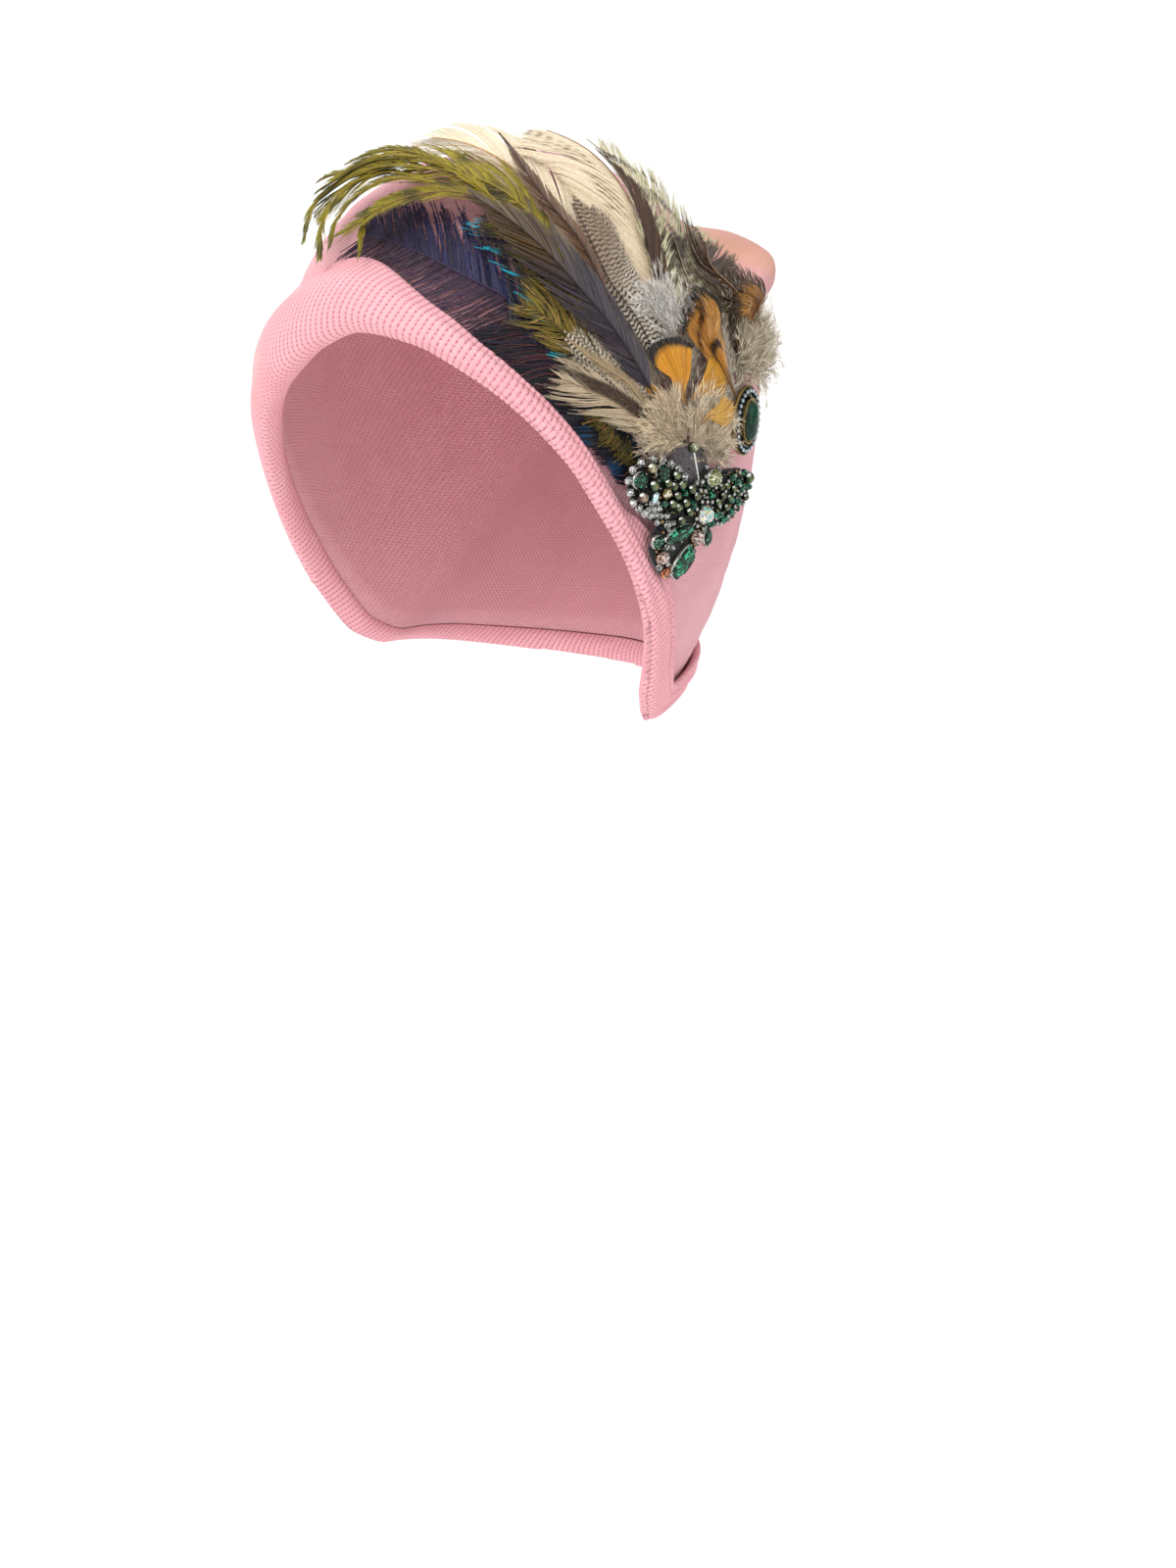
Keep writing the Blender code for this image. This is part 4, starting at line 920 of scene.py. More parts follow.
def build_feathers():
    soft = feather_material("barbs_soft", rough=0.62, sheen=0.12)
    glossy = feather_material("barbs_glossy", rough=0.36, spec=0.5, coat=0.1)
    loose = feather_material("barbs_loose", rough=0.5, sheen=0.15)

    def make(name, slot, mat, fill):
        bag = Bag()
        fill(bag, rib_of(name))
        bag.object(name+"_barbs", mat, slot, (name,))

    def ones(s):
        return np.ones_like(s)

    # -- the dark plumes
    def navy_up(t, s, side, rnd, pts, w, x):
        c = tone(rgb(12, 11, 34), rgb(44, 43, 96), np.clip(rnd*0.85+0.15*s, 0, 1))
        c = tone(c, rgb(44, 30, 54), 0.65*smooth(t, 0.55, 0.95))
        return c*(0.6+0.35*rnd[..., None])

    def navy_low(t, s, side, rnd, pts, w, x):
        c = tone(rgb(30, 14, 34), rgb(74, 44, 74), np.clip(rnd*0.7+0.3*s, 0, 1))
        c = tone(c, rgb(16, 10, 26), 0.6*(1-smooth(t, 0.2, 0.6)))
        return c*(0.6+0.35*rnd[..., None])
    make("ostrich_navy", "navy", loose, lambda b, r: (
        ostrich(b, r, 19, 19, navy_up, t0=0.03, t1=1.0, count=250, angle=(56, 42), hook=0.3, barbule=1.35, per=24,
                core=0.82, quill_colour=rgb(52, 36, 70), sides=(-1,), fluff=0.7, tatter=0.16, over=8,
                outline=lambda t: 0.72+0.28*np.sin(np.pi*t)-0.3*smooth(t, 0.85, 1.0)),
        ostrich(b, r, 21, 18, navy_low, t0=0.0, t1=0.98, count=270, angle=(56, 50), hook=0.3, barbule=0.8, per=16,
                core=0.66, quill=None, sides=(1,), fluff=0.5, tatter=0.06, over=5,
                outline=lambda t: 0.45+0.5*smooth(t, 0.06, 0.34)-0.35*smooth(t, 0.55, 1.0))))

    def teal(t, s, side, rnd, pts, w, x):
        patch = smooth(wavy(pts, 21, 7.0)+0.5*(rnd-0.5), 0.05, 0.55)
        c = tone(rgb(8, 8, 22), rgb(4, 58, 92), patch)
        c = tone(c, rgb(52, 22, 44), 0.6*(rnd > 0.72)*smooth(t, 0.35, 0.8)*ones(s))
        return c*(0.7+0.6*rnd[..., None])
    make("ostrich_teal", "teal", loose, lambda b, r: (
        ostrich(b, r, 17, 0, teal, t0=-0.05, t1=1.0, count=200, angle=(50, 40), hook=0.35, barbule=1.2, per=20, core=0.7,
                quill_colour=rgb(20, 24, 40), tatter=0.05, outline=lambda t: 0.40+0.52*smooth(t, 0.12, 0.5)-0.14*t),
        ostrich(b, r, 0, 12, teal, t0=-0.05, t1=1.0, count=170, angle=(50, 40), hook=0.35, barbule=1.2, per=20, core=0.75,
                quill=None, outline=lambda t: 0.95-0.2*t),
        ostrich(b, r, 17, 8, lambda t, s, side, rnd, pts, w, x: tone(rgb(60, 24, 30), rgb(104, 52, 52), rnd*ones(s)),
                t0=0.5, t1=1.15, count=34, angle=(64, 40), hook=-0.2, barbule=0.9, per=8, core=0.24, quill=None, extra=0.5, sides=(1,),
                tatter=0.3, fluff=1.5)))

    # -- olive plumes
    def olive(t, s, side, rnd, pts, w, x):
        c = tone(rgb(78, 68, 4), rgb(166, 148, 30), np.clip(rnd*0.95+0.1*s, 0, 1))
        c = tone(c, rgb(96, 132, 20), 0.5*smooth(t, 0.45, 1.0)*smooth(s, 0.2, 1)*(side < 0))
        # painted shade: dark wavy streaks over the olive barbs
        dark = 0.75*smooth(wavy(pts, 5, 3.6)+0.3*(rnd-0.5), 0.2, 0.55)
        return tone(c, rgb(34, 36, 8), dark)
    make("plume_olive", "olive", soft, lambda b, r: (
        vane(b, r, 0, 10, olive, t0=-0.02, t1=1.0, count=260, steps=9, angle=(28, 16), hook=0.45, camber=1.0, splits=1.0,
             tatter=0.16, wide=1.5, quill=(0.8, 0.3), quill_colour=rgb(150, 130, 40), over=1, droop=1.0,
             outline=lambda t: 0.12+0.88*smooth(t, 0.15, 0.36)-0.45*smooth(t, 0.72, 1.0)),
        vane(b, r, 10, 0, olive, t0=-0.02, t1=1.0, count=260, steps=9, angle=(28, 16), hook=0.45, camber=1.0, splits=1.0,
             tatter=0.16, wide=1.5, quill=None, over=1, droop=1.0,
             outline=lambda t: 0.28+0.6*smooth(t, 0.1, 0.5)-0.4*smooth(t, 0.72, 1.0)),
        [vane(b, Rib(rows, layer, lift), wd, wd, olive, t0=-0.05, t1=1.0, count=110, steps=6, angle=(20, 9), hook=0.2, splits=0.5,
              tatter=0.2, wide=1.5, quill=(0.5, 0.15), quill_colour=rgb(150, 130, 40), over=2.0, camber=0.3,
              outline=lambda t: 0.55+0.45*np.sin(np.pi*np.clip(t, 0, 1))-0.3*smooth(t, 0.6, 1.0)) for layer, lift, rows, wd in STRANDS]))
    make("plume_olive_low", "olive", soft, lambda b, r: vane(
        b, r, 2.8, 2.4, olive, count=130, steps=6, angle=(20, 13), splits=0.6, tatter=0.3, wide=1.4, over=6,
        quill=(0.6, 0.2), quill_colour=rgb(140, 112, 50), outline=lambda t: 0.5+0.5*np.sin(np.pi*t)))

    def peacock(t, s, side, rnd, pts, w, x):
        c = tone(rgb(58, 52, 16), rgb(130, 116, 40), rnd*ones(s))
        tip = smooth(s, 0.74, 0.84)*(np.sin(t*60+1.2*rnd) > 0.1)*(side > 0)*(t > 0.3)
        c = tone(c, rgb(18, 26, 54), 0.7*smooth(s, 0.4, 0.6)*(side > 0))
        return tone(c, rgb(14, 172, 196), tip)
    make("peacock_edge", "peacock", soft, lambda b, r: vane(
        b, r, 12, 7, peacock, count=210, steps=9, angle=(44, 36), splits=1.0, tatter=0.12, wide=1.3,
        quill_colour=rgb(110, 84, 40), outline=lambda t: 0.8+0.2*np.sin(np.pi*t)))

    def tuft(t, s, side, rnd, pts, w, x):
        c = tone(rgb(70, 60, 14), rgb(150, 130, 44), rnd*ones(s))
        c = tone(c, rgb(38, 34, 16), 0.7*smooth(wavy(pts, 8, 2.4), 0.1, 0.5))
        return tone(c, rgb(206, 140, 104), 0.4*(rnd > 0.82)*smooth(t, 0.3, 0.8))
    make("olive_tuft", "olive", soft, lambda b, r: vane(
        b, r, 7, 7, tuft, count=150, steps=6, angle=(40, 22), splits=1.5, tatter=0.25, wide=1.2,
        quill_colour=rgb(70, 50, 30), quill=(0.5, 0.2)))
    make("olive_base", "olive", soft, lambda b, r: ostrich(
        b, r, 3.2, 3.6, lambda *a: tuft(*a)*0.75, t0=-0.1, t1=1.1, count=100, steps=6, angle=(76, 60), hook=0.0, barbule=0.9, per=12,
        core=0.36, quill=None, outline=lambda t: 0.75+0.25*np.sin(23*t), fluff=2.4, tatter=0.3))

    # -- cream feathers
    def cream(t, s, side, rnd, pts, w, x):
        c = tone(rgb(200, 178, 140), rgb(246, 234, 210), np.clip(0.2+rnd*0.8, 0, 1)*ones(s))
        c = tone(c, rgb(206, 232, 200), 0.5*smooth(t, 0.6, 1.0)*(side < 0)*smooth(s, 0.5, 1))
        return tone(c, rgb(150, 140, 116), 0.5*(rnd > 0.88)*smooth(s, 0.1, 0.6))
    make("cream_left", "cream", soft, lambda b, r: vane(
        b, r, 18, 16, cream, t0=-0.12, t1=1.0, count=420, steps=10, angle=(34, 16), hook=0.15, camber=0.6, splits=0.3,
        tatter=0.05, wide=2.0, tilt=0.2, quill=(0.9, 0.35), quill_colour=rgb(206, 168, 120), over=5,
        outline=lambda t: 0.6+0.4*smooth(t, 0, 0.35)-0.5*smooth(t, 0.8, 1.0)))

    def beige(t, s, side, rnd, pts, w, x):
        if side < 0:
            return tone(rgb(36, 20, 12), rgb(98, 66, 46), 0.85*rnd*ones(s))
        c = tone(rgb(206, 180, 142), rgb(246, 230, 202), np.clip(0.1+rnd*0.65+0.4*t, 0, 1))
        c = tone(c, rgb(190, 166, 144), 0.3*(1-smooth(t, 0.1, 0.45))*(1-0.6*smooth(s, 0.4, 0.9)))
        along = (1.3*t-0.3)*86+x
        dash = smooth(np.sin(along*1.6+0.3*w+0.3*rnd), 0.25, 0.7)*smooth(w, 3.8, 5.2)*(1-smooth(w, 12.5, 15))*smooth(along, 26, 38)
        c = tone(c, rgb(100, 84, 38), 0.9*dash*(rnd > 0.12))
        return tone(c, rgb(140, 116, 92), 0.4*(rnd > 0.93)*ones(s))
    make("cream_right", "cream", soft, lambda b, r: (
        vane(b, r, 25, 0, beige, t0=-0.3, t1=1.0, count=600, steps=12, angle=(50, 26), hook=0.25, camber=0.7, splits=0.22,
             tatter=0.04, wide=2.8, tilt=0.15, slant=-0.25, quill=(0.8, 0.3), quill_colour=rgb(150, 116, 84), over=4,
             outline=lambda t: 0.85+0.15*smooth(t, 0.0, 0.4)-0.6*smooth(t, 0.78, 1.0)),
        vane(b, r, 0, 6.8, beige, t0=-0.12, t1=0.74, count=230, steps=7, angle=(22, 12), hook=0.2, camber=0.3, splits=0.3,
             tatter=0.06, wide=1.7, tilt=0.15, quill=(1.1, 0.3), quill_colour=rgb(58, 34, 22), over=4, extra=2.0,
             outline=lambda t: 0.7+0.3*smooth(t, 0.0, 0.2)-0.9*smooth(t, 0.35, 1.0))))

    def brown(t, s, side, rnd, pts, w, x):
        c = tone(rgb(66, 38, 22), rgb(128, 92, 66), np.clip(rnd*0.65+0.25*s, 0, 1))
        return tone(c, rgb(190, 160, 130), 0.4*smooth(s, 0.75, 1.0)*(side > 0))
    make("brown_pointed", "brown", glossy, lambda b, r: vane(
        b, r, 3.9, 3.8, brown, t0=-0.05, t1=1.0, count=250, steps=6, angle=(24, 13), splits=0.3, tatter=0.05, wide=1.5,
        quill=(0.9, 0.25), quill_colour=rgb(56, 28, 16), camber=-0.5,
        outline=lambda t: 0.75+0.25*smooth(t, 0, 0.3)-0.92*smooth(t, 0.35, 1.0)))

    # -- barred feathers
    def barred(t, s, side, rnd, pts, w, x):
        phase = (x+t*58)*3.9+1.3*np.sin(w*0.9+t*20)+0.9*np.sin(w*2.3+t*9)+1.0*rnd
        bar = smooth(np.sin(phase), -0.3, 0.3)
        white = tone(rgb(216, 202, 184), rgb(164, 144, 122), smooth(t, 0.2, 0.65))
        ink = tone(rgb(40, 32, 32), rgb(84, 66, 52), smooth(t, 0.35, 0.8))
        return tone(white, ink, bar*0.95)
    make("barred_fine", "barred", soft, lambda b, r: vane(
        b, r, 4.5, 12.5, barred, t0=-0.2, t1=1.0, count=310, steps=30, angle=(42, 24), splits=0.15, tatter=0.04, wide=1.5,
        quill=(0.5, 0.2), quill_colour=rgb(60, 45, 40),
        outline=lambda t: 0.55+0.45*smooth(t, 0.0, 0.35)-0.8*smooth(t, 0.5, 1.0)))

    def speckled(t, s, side, rnd, pts, w, x):
        phase = (x+t*34)*4.2+1.5*np.sin(w*2.6)+1.2*rnd
        c = tone(rgb(170, 148, 116), rgb(112, 88, 62), 0.5*rnd*ones(s))
        edge = smooth(s, 0.25, 0.4)
        spot = smooth(np.sin(phase), -0.1, 0.2)
        return tone(c, tone(rgb(206, 190, 166), rgb(28, 24, 22), spot), edge)
    make("barred_low", "barred", soft, lambda b, r: vane(
        b, r, 5.0, 6.4, speckled, t0=-0.1, t1=1.0, count=220, steps=18, angle=(30, 18), splits=0.3, wide=1.5,
        quill=(0.6, 0.2), quill_colour=rgb(190, 168, 134),
        outline=lambda t: 0.8+0.2*smooth(t, 0, 0.3)-0.8*smooth(t, 0.5, 1.0)))

    # -- glossy slate feather
    def slate(t, s, side, rnd, pts, w, x):
        low = tone(rgb(28, 23, 30), rgb(82, 71, 82), np.clip(rnd*0.8+0.1*s, 0, 1))
        high = tone(rgb(40, 24, 10), rgb(104, 76, 40), np.clip(rnd*0.85, 0, 1)*ones(s))
        c = tone(low, high, smooth(t+0.12*wavy(pts, 3, 9), 0.36, 0.66))
        return tone(c, rgb(140, 120, 102), 0.35*smooth(s, 0.8, 1)*(rnd > 0.5))
    make("slate_glossy", "slate", glossy, lambda b, r: vane(
        b, r, 9, 9, slate, t0=-0.06, t1=1.0, count=430, steps=9, angle=(27, 14), splits=0.35, tatter=0.05, wide=1.6,
        quill=(0.8, 0.25), quill_colour=rgb(36, 24, 26), camber=-0.6,
        outline=lambda t: 0.65+0.35*smooth(t, 0.0, 0.25)-0.8*smooth(t, 0.35, 1.0)))

    # -- green-cream mottled feathers
    def mottled(seed, dark=0.9):
        def f(t, s, side, rnd, pts, w, x):
            c = tone(rgb(160, 146, 112), rgb(230, 220, 188), np.clip(rnd*0.7+0.3*s, 0, 1))
            c = tone(c, rgb(182, 196, 150), 0.34*smooth(s, 0.55, 1.0))
            mark = smooth(np.sin((x+t*46)*0.75+seed+w*0.35)+0.5*wavy(pts, int(seed)+31, 2.0), 0.35, 0.7)*(1-smooth(s, 0.68, 0.95))
            return tone(c, rgb(44, 30, 18), dark*mark)
        return f
    for name, seed, l, rr, n in (("green_mottled_a", 0.0, 5, 8, 230), ("green_mottled_b", 2.0, 8, 9, 240), ("green_mottled_c", 4.0, 8, 8, 190)):
        make(name, "green", soft, lambda b, r, seed=seed, l=l, rr=rr, n=n: vane(
            b, r, l, rr, mottled(seed), t0=-0.1, t1=1.0, count=n, steps=10, angle=(38, 24), splits=0.9, tatter=0.2,
            wide=1.4, camber=1.2, quill_colour=rgb(150, 136, 104), quill=(0.6, 0.2), over=5,
            outline=lambda t: 0.75+0.25*smooth(t, 0, 0.4)-0.5*smooth(t, 0.75, 1.0)))

    def vermic(t, s, side, rnd, pts, w, x):
        v1 = wavy(pts, 11, 0.42)
        c = tone(rgb(184, 174, 148), rgb(96, 86, 68), smooth(v1, -0.15, 0.15))
        c = tone(c, rgb(44, 30, 20), 0.85*smooth(t+0.15*(rnd-0.5), 0.62, 0.85))
        return c*(0.85+0.25*rnd[..., None])
    make("vermiculated", "green", soft, lambda b, r: vane(
        b, r, 7.5, 7.5, vermic, t0=-0.2, t1=1.0, count=260, steps=20, angle=(36, 22), splits=0.25, wide=1.5,
        quill_colour=rgb(170, 150, 120), quill=(0.6, 0.2)))

    def darkf(t, s, side, rnd, pts, w, x):
        c = tone(rgb(30, 20, 12), rgb(92, 64, 38), np.clip(rnd*0.9, 0, 1)*ones(s))
        return tone(c, rgb(118, 112, 44), 0.6*smooth(s, 0.7, 1)*(rnd > 0.45))
    for name, wide_l, wide_r in (("dark_edge_a", 10.0, 9.0), ("dark_edge_b", 7.5, 6.5)):
        make(name, "dark", glossy, lambda b, r, wl=wide_l, wr=wide_r: vane(
            b, r, wl, wr, darkf, t0=-0.25, t1=1.05, count=300, steps=8, angle=(42, 26), splits=0.7, tatter=0.12, wide=2.1,
            quill_colour=rgb(150, 116, 84), quill=(0.6, 0.2), camber=0.8, over=8, extra=2.4))

    # -- gold feathers
    def gold(tip, lo, hi, at=0.86, base=0.5, lines=0.12):
        def f(t, s, side, rnd, pts, w, x):
            c = tone(lo, hi, np.clip(0.15+0.8*rnd+0.15*s, 0, 1))
            c = tone(c, rgb(96, 52, 12), 0.6*(rnd > 1-lines)*ones(s))
            c = tone(c, rgb(196, 170, 128), base*(1-smooth(t, 0.05, 0.4)))
            return tone(c, rgb(24, 14, 8), tip*smooth(s, at, at+0.05))
        return f
    make("golden_fan", "gold", glossy, lambda b, r: fan(
        b, r, 20.5, gold(1.0, rgb(196, 116, 10), rgb(240, 172, 44)), count=260, spread=80, foot=0.05, shoulder=0.80,
        lean=0.04, camber=1.2, edge=0.012, extra=1.9, wide=1.8))
    make("golden_b", "gold", glossy, lambda b, r: (
        fan(b, r, 19.0, gold(1.0, rgb(190, 120, 36), rgb(232, 168, 84), at=0.85, lines=0.2), count=260, spread=80, foot=0.3,
            shoulder=0.8, camber=0.9, edge=0.04, wide=1.8, extra=3.2),
        fan(b, r, 14.0, gold(1.0, rgb(196, 126, 40), rgb(236, 176, 96), at=0.82, lines=0.2), count=180, spread=80, foot=0.1,
            shoulder=0.45, lean=-0.35, camber=0.9, edge=0.05, wide=1.6, extra=3.8),
        fan(b, Rib(deg((90, 13), (89, 15.5), (88, 18), (87, 20), (86.3, 22)), 5, 9.0), 5.0,
            gold(1.0, rgb(180, 112, 30), rgb(226, 162, 70), at=0.72, lines=0.2), count=70, spread=80, foot=0.1, shoulder=0.85,
            camber=0.6, edge=0.03, wide=1.6, extra=3.4)))
    make("golden_c", "gold", glossy, lambda b, r: fan(
        b, r, 16.0, gold(0.35, rgb(176, 112, 14), rgb(222, 164, 52), at=0.93, base=0.2, lines=0.08), count=190, spread=82, foot=0.05,
        shoulder=0.82, camber=1.2, edge=0.012, extra=3.2, wide=1.8))
    make("golden_d", "gold", glossy, lambda b, r: fan(
        b, r, 10.0, gold(0.0, rgb(186, 128, 30), rgb(228, 182, 84), base=0.3), count=120, spread=80, foot=0.1, shoulder=0.7,
        camber=0.8, edge=0.03, extra=5.4, wide=1.7))
    make("golden_narrow", "gold", glossy, lambda b, r: (
        fan(b, r, 13.0, gold(0.9, rgb(190, 120, 40), rgb(232, 172, 92), at=0.84, lines=0.25), count=180, spread=78, foot=0.2, shoulder=0.7,
            lean=0.16, camber=0.8, edge=0.06, wide=1.7, extra=3.4)))
    make("golden_thin", "gold", glossy, lambda b, r: vane(
        b, r, 1.9, 1.7, gold(0.0, rgb(196, 126, 24), rgb(238, 180, 74)), t0=-0.1, t1=1.0, count=110, steps=5, angle=(16, 12), splits=0.2,
        wide=1.6, quill=(0.3, 0.15), quill_colour=rgb(180, 130, 50), extra=0.5))

    # -- striped feathers near the root
    def striped(t, s, side, rnd, pts, w, x):
        c = tone(rgb(150, 126, 98), rgb(226, 208, 178), np.clip(rnd*0.85+0.15*s, 0, 1))
        band = smooth(w, 0.1, 0.5)*(1-smooth(w, 4.0, 5.0))*(side < 0)*smooth(t, 0.05, 0.2)*(1-smooth(t, 0.72, 0.9))
        return tone(c, tone(rgb(36, 22, 14), rgb(74, 50, 34), rnd*ones(s)), 0.97*band)
    for name, l, rr in (("striped_a", 6.0, 6.0), ("striped_b", 7.5, 6.0)):
        make(name, "striped", soft, lambda b, r, l=l, rr=rr: vane(
            b, r, l, rr, striped, t0=-0.2, t1=1.0, count=300, steps=12, angle=(26, 14), splits=0.6, tatter=0.1, wide=1.5, over=5,
            quill=(0.5, 0.2), quill_colour=rgb(120, 92, 64), outline=lambda t: 0.8+0.2*smooth(t, 0, 0.3)-0.8*smooth(t, 0.45, 1.0)))

    # -- down
    def grey(lo, hi, warm=0.0):
        def f(rnd, s, top):
            c = tone(lo, hi, np.clip(rnd*0.8+0.35*s, 0, 1))
            return tone(c, rgb(150, 118, 80), warm*(rnd > 0.8)*ones(s))
        return f
    make("fluff_white", "down", loose, lambda b, r: down(
        b, r, 11, 3, grey(rgb(132, 122, 112), rgb(252, 248, 240)), count=130, t_root=(-0.1, 0.65), reach=(6, 12), rise=(0.1, 0.7),
        spread=0.42, hair=3.2, per=20))
    under = Bag()
    for layer, lift, rows in UNDER:
        down(under, Rib(rows, layer, lift), 13, 13, grey(rgb(150, 130, 108), rgb(246, 236, 216)), count=360, t_root=(-0.1, 0.95),
             reach=(7, 13), rise=(0.1, 0.9), spread=0.45, hair=3.6, per=20, core=0.3)
    under.object("under_down", loose, "down")
    make("fluff_left", "down", loose, lambda b, r: (
        down(b, r, 2.0, 8.5, grey(rgb(152, 126, 94), rgb(252, 234, 202), 0.3), count=190, t_root=(0.02, 0.45), reach=(8, 17), rise=(0.2, 1.8),
             spread=0.3, hair=3.8, per=20),
        down(b, Rib(deg((70.5, -2), (69, -0.5), (67.5, 1.5), (66, 3.5), (64.5, 5.5)), 6, 9.0), 3, 3.5, grey(rgb(120, 104, 84), rgb(216, 200, 174)),
             count=60, t_root=(0.15, 0.6), reach=(5, 10), rise=(0.2, 1.2), spread=0.5, hair=3.2, per=16)))
    make("fluff_mid", "down", loose, lambda b, r: (
        down(b, r, 9, 8, grey(rgb(158, 130, 98), rgb(255, 240, 210), 0.25), count=270, t_root=(0.0, 0.5), reach=(7, 15), rise=(0.2, 2.0),
             spread=0.55, hair=3.8, per=20),
        down(b, Rib(deg((85.3, -4.9), (86, -2.7), (86.7, -0.7), (87, 1.4), (87.3, 3.3)), 7, 9.0), 6.5, 3.5, grey(rgb(128, 110, 86), rgb(236, 220, 194), 0.2),
             count=110, t_root=(0.05, 0.5), reach=(4, 9), rise=(0.2, 1.3), spread=0.5, hair=3.2, per=18)))
    make("fluff_right", "down", loose, lambda b, r: (
        down(b, r, 8, 9, grey(rgb(136, 118, 88), rgb(250, 238, 212), 0.22), count=230, t_root=(0.12, 0.75), reach=(7, 14), rise=(0.4, 3.0),
             spread=0.62, hair=4.2, per=20),
        down(b, r, 10, 12, grey(rgb(136, 118, 90), rgb(250, 240, 216), 0.22), count=70, t_root=(0.3, 0.8), reach=(7, 13), rise=(3.0, 6.0),
             spread=0.8, hair=3.4, per=20)))


# ------------------------------------------------------------------ jewels
class Plane:
    """A patch of the form: u to the right, v up, h out, bent onto the head."""

    def __init__(self, round_deg, up_deg, floor):
        d = direction(np.array([float(round_deg)]), np.array([float(up_deg)]))
        self.centre, self.n, self.floor = shell(d, floor)[0], normal(d)[0], floor
        self.v = unit(np.array([0, 0, 1.0])-self.n*self.n[2])
        self.u = np.cross(self.v, self.n)

    def at(self, u, v, h=0.0):
        u, v = np.asarray(u, float), np.asarray(v, float)
        d = unit(self.centre+u[..., None]*self.u+v[..., None]*self.v)
        return d*(radius(d)+self.floor)[..., None]+normal(d)*(np.asarray(h, float)+0*u)[..., None]

    def frame(self, u, v, turn=0.0, h=0.0):
        p = self.at(np.array([float(u)]), np.array([float(v)]))[0]
        n = normal(unit(p)[None])[0]
        a = unit(self.u-n*(self.u@n))
        b = np.cross(n, a)
        c, s = math.cos(math.radians(turn)), math.sin(math.radians(turn))
        return p+n*h, c*a+s*b, c*b-s*a, n


BACKING = (
    (0, 37), (14, 33), (24, 25), (36, 18), (60, 14.5), (80, 9.5), (105, 10.5), (125, 20),
    (138, 28), (150, 33), (160, 33), (169, 30), (178, 25), (188, 20), (198, 17.5),
    (206, 21), (218, 24), (234, 26), (248, 27.5), (258, 25.5), (274, 19), (290, 15.5),
    (306, 16.5), (318, 15), (334, 23), (350, 33),
)
STONES = (          # name, u, v, long, wide, turn, high, shape, look
    ("stone_round_a", -27.6, 12.4, 6.2, 6.2, 0, 3.0, "round", "emerald"),
    ("stone_round_b", -17.4, 14.2, 6.2, 6.2, 0, 3.0, "round", "emerald"),
    ("stone_olive", 8.9, 9.2, 7.0, 6.6, 0, 3.4, "round", "olive_glass"),
    ("stone_aurora", 5.6, -3.6, 7.4, 7.0, 0, 3.6, "round", "aurora"),
    ("stone_navette_a", -7.3, -8.5, 15.0, 6.0, 12, 3.2, "navette", "emerald"),
    ("stone_oval_dark", -17.9, -10.4, 5.0, 4.4, 60, 2.8, "round", "emerald"),
    ("stone_rose_clear", 2.2, -11.3, 5.4, 5.2, 0, 3.0, "round", "rose_glass"),
    ("stone_navette_b", 7.9, -12.0, 8.2, 3.8, 98, 2.8, "navette", "emerald"),
    ("stone_long", -4.4, -19.4, 13.6, 7.0, 46, 3.8, "cushion", "emerald"),
    ("stone_rose_small", -14.2, -16.8, 5.2, 4.8, 0, 2.8, "round", "rose_glass"),
    ("bead_a", -23.2, 16.6, 4.2, 4.2, 0, 4.0, "ball", "metal_bead"),
    ("bead_b", -22.1, 10.4, 4.2, 4.2, 0, 4.0, "ball", "metal_bead"),
    ("bead_c", -26.9, 6.7, 4.2, 4.2, 0, 4.0, "ball", "metal_bead"),
    ("bead_end", 31.9, 5.6, 4.6, 4.6, 0, 4.0, "ball", "metal_bead"),
)
CHAIN = ((-26.8, 18.8), (-21.5, 19.6), (-16.8, 18.6), (-12.8, 16.6), (-9.4, 14.4), (-5.9, 11.3), (-30.5, 16.4),
         (-32.3, 12.6), (-31.3, 8.3), (-29.7, 4.7), (-27.0, 2.4), (-24.2, 0.4))
CLEAR = (           # u, v, across: clear stones in cups
    (-18.3, -3.4, 2.4), (-16.4, -1.2, 2.2), (-13.9, -1.4, 2.6), (-13.4, -4.6, 3.0), (-10.4, -4.4, 2.2),
    (-12.0, -7.0, 1.8), (-12.7, -12.8, 2.6), (-15.3, -20.2, 2.6), (-9.6, -13.6, 2.2), (-11.0, -19.6, 2.2),
    (5.6, 13.4, 1.8), (12.4, 12.6, 1.8), (3.6, 8.4, 1.8), (0.6, 8.6, 2.0),
)
PEARLS = ((-10.7, 5.6), (-6.4, 2.6), (-8.8, 9.0), (-3.9, 7.0), (-0.9, 4.2), (-4.4, -0.8), (-9.8, 1.6), (-8.2, -3.4),
          (-12.6, 9.2), (-11.6, 12.8), (14.6, 1.9), (11.6, 0.2), (19.1, 0.4), (17.7, -2.9), (21.2, 3.4), (25.0, 1.0),
          (12.9, 5.4), (31.6, -1.8), (16.9, 5.0), (-12.8, 3.0), (-15.6, 10.6))
GREENS = ((28.9, 2.6), (24.6, 5.2), (8.6, 3.0), (22.3, -5.6), (17.9, -7.6), (11.4, -4.4), (27.2, -2.8), (-15.9, 3.4),
          (-1.8, 1.0), (14.6, -5.2), (9.8, -7.6), (21.4, -1.0), (-6.6, 5.9), (34.4, 1.6), (29.9, 7.6), (20.8, 7.4))
SILVERS = ((1.8, 5.8), (4.4, 5.2), (6.0, 1.0), (3.0, 1.6), (8.8, 0.6), (0.4, -0.6), (0.6, -4.2), (1.6, -7.0), (5.0, -8.6),
           (8.4, -6.0), (13.4, -8.2), (15.8, -8.8), (20.2, -6.8), (13.7, -1.6), (18.0, 6.6), (22.6, 7.8), (25.6, 8.6),
           (24.6, -4.0), (28.9, -4.6), (31.8, -4.4), (33.8, -1.2), (34.6, 4.6), (28.4, 0.0), (22.9, 1.0), (16.6, 3.2),
           (10.4, 5.6), (26.8, 3.6), (30.6, 0.6))
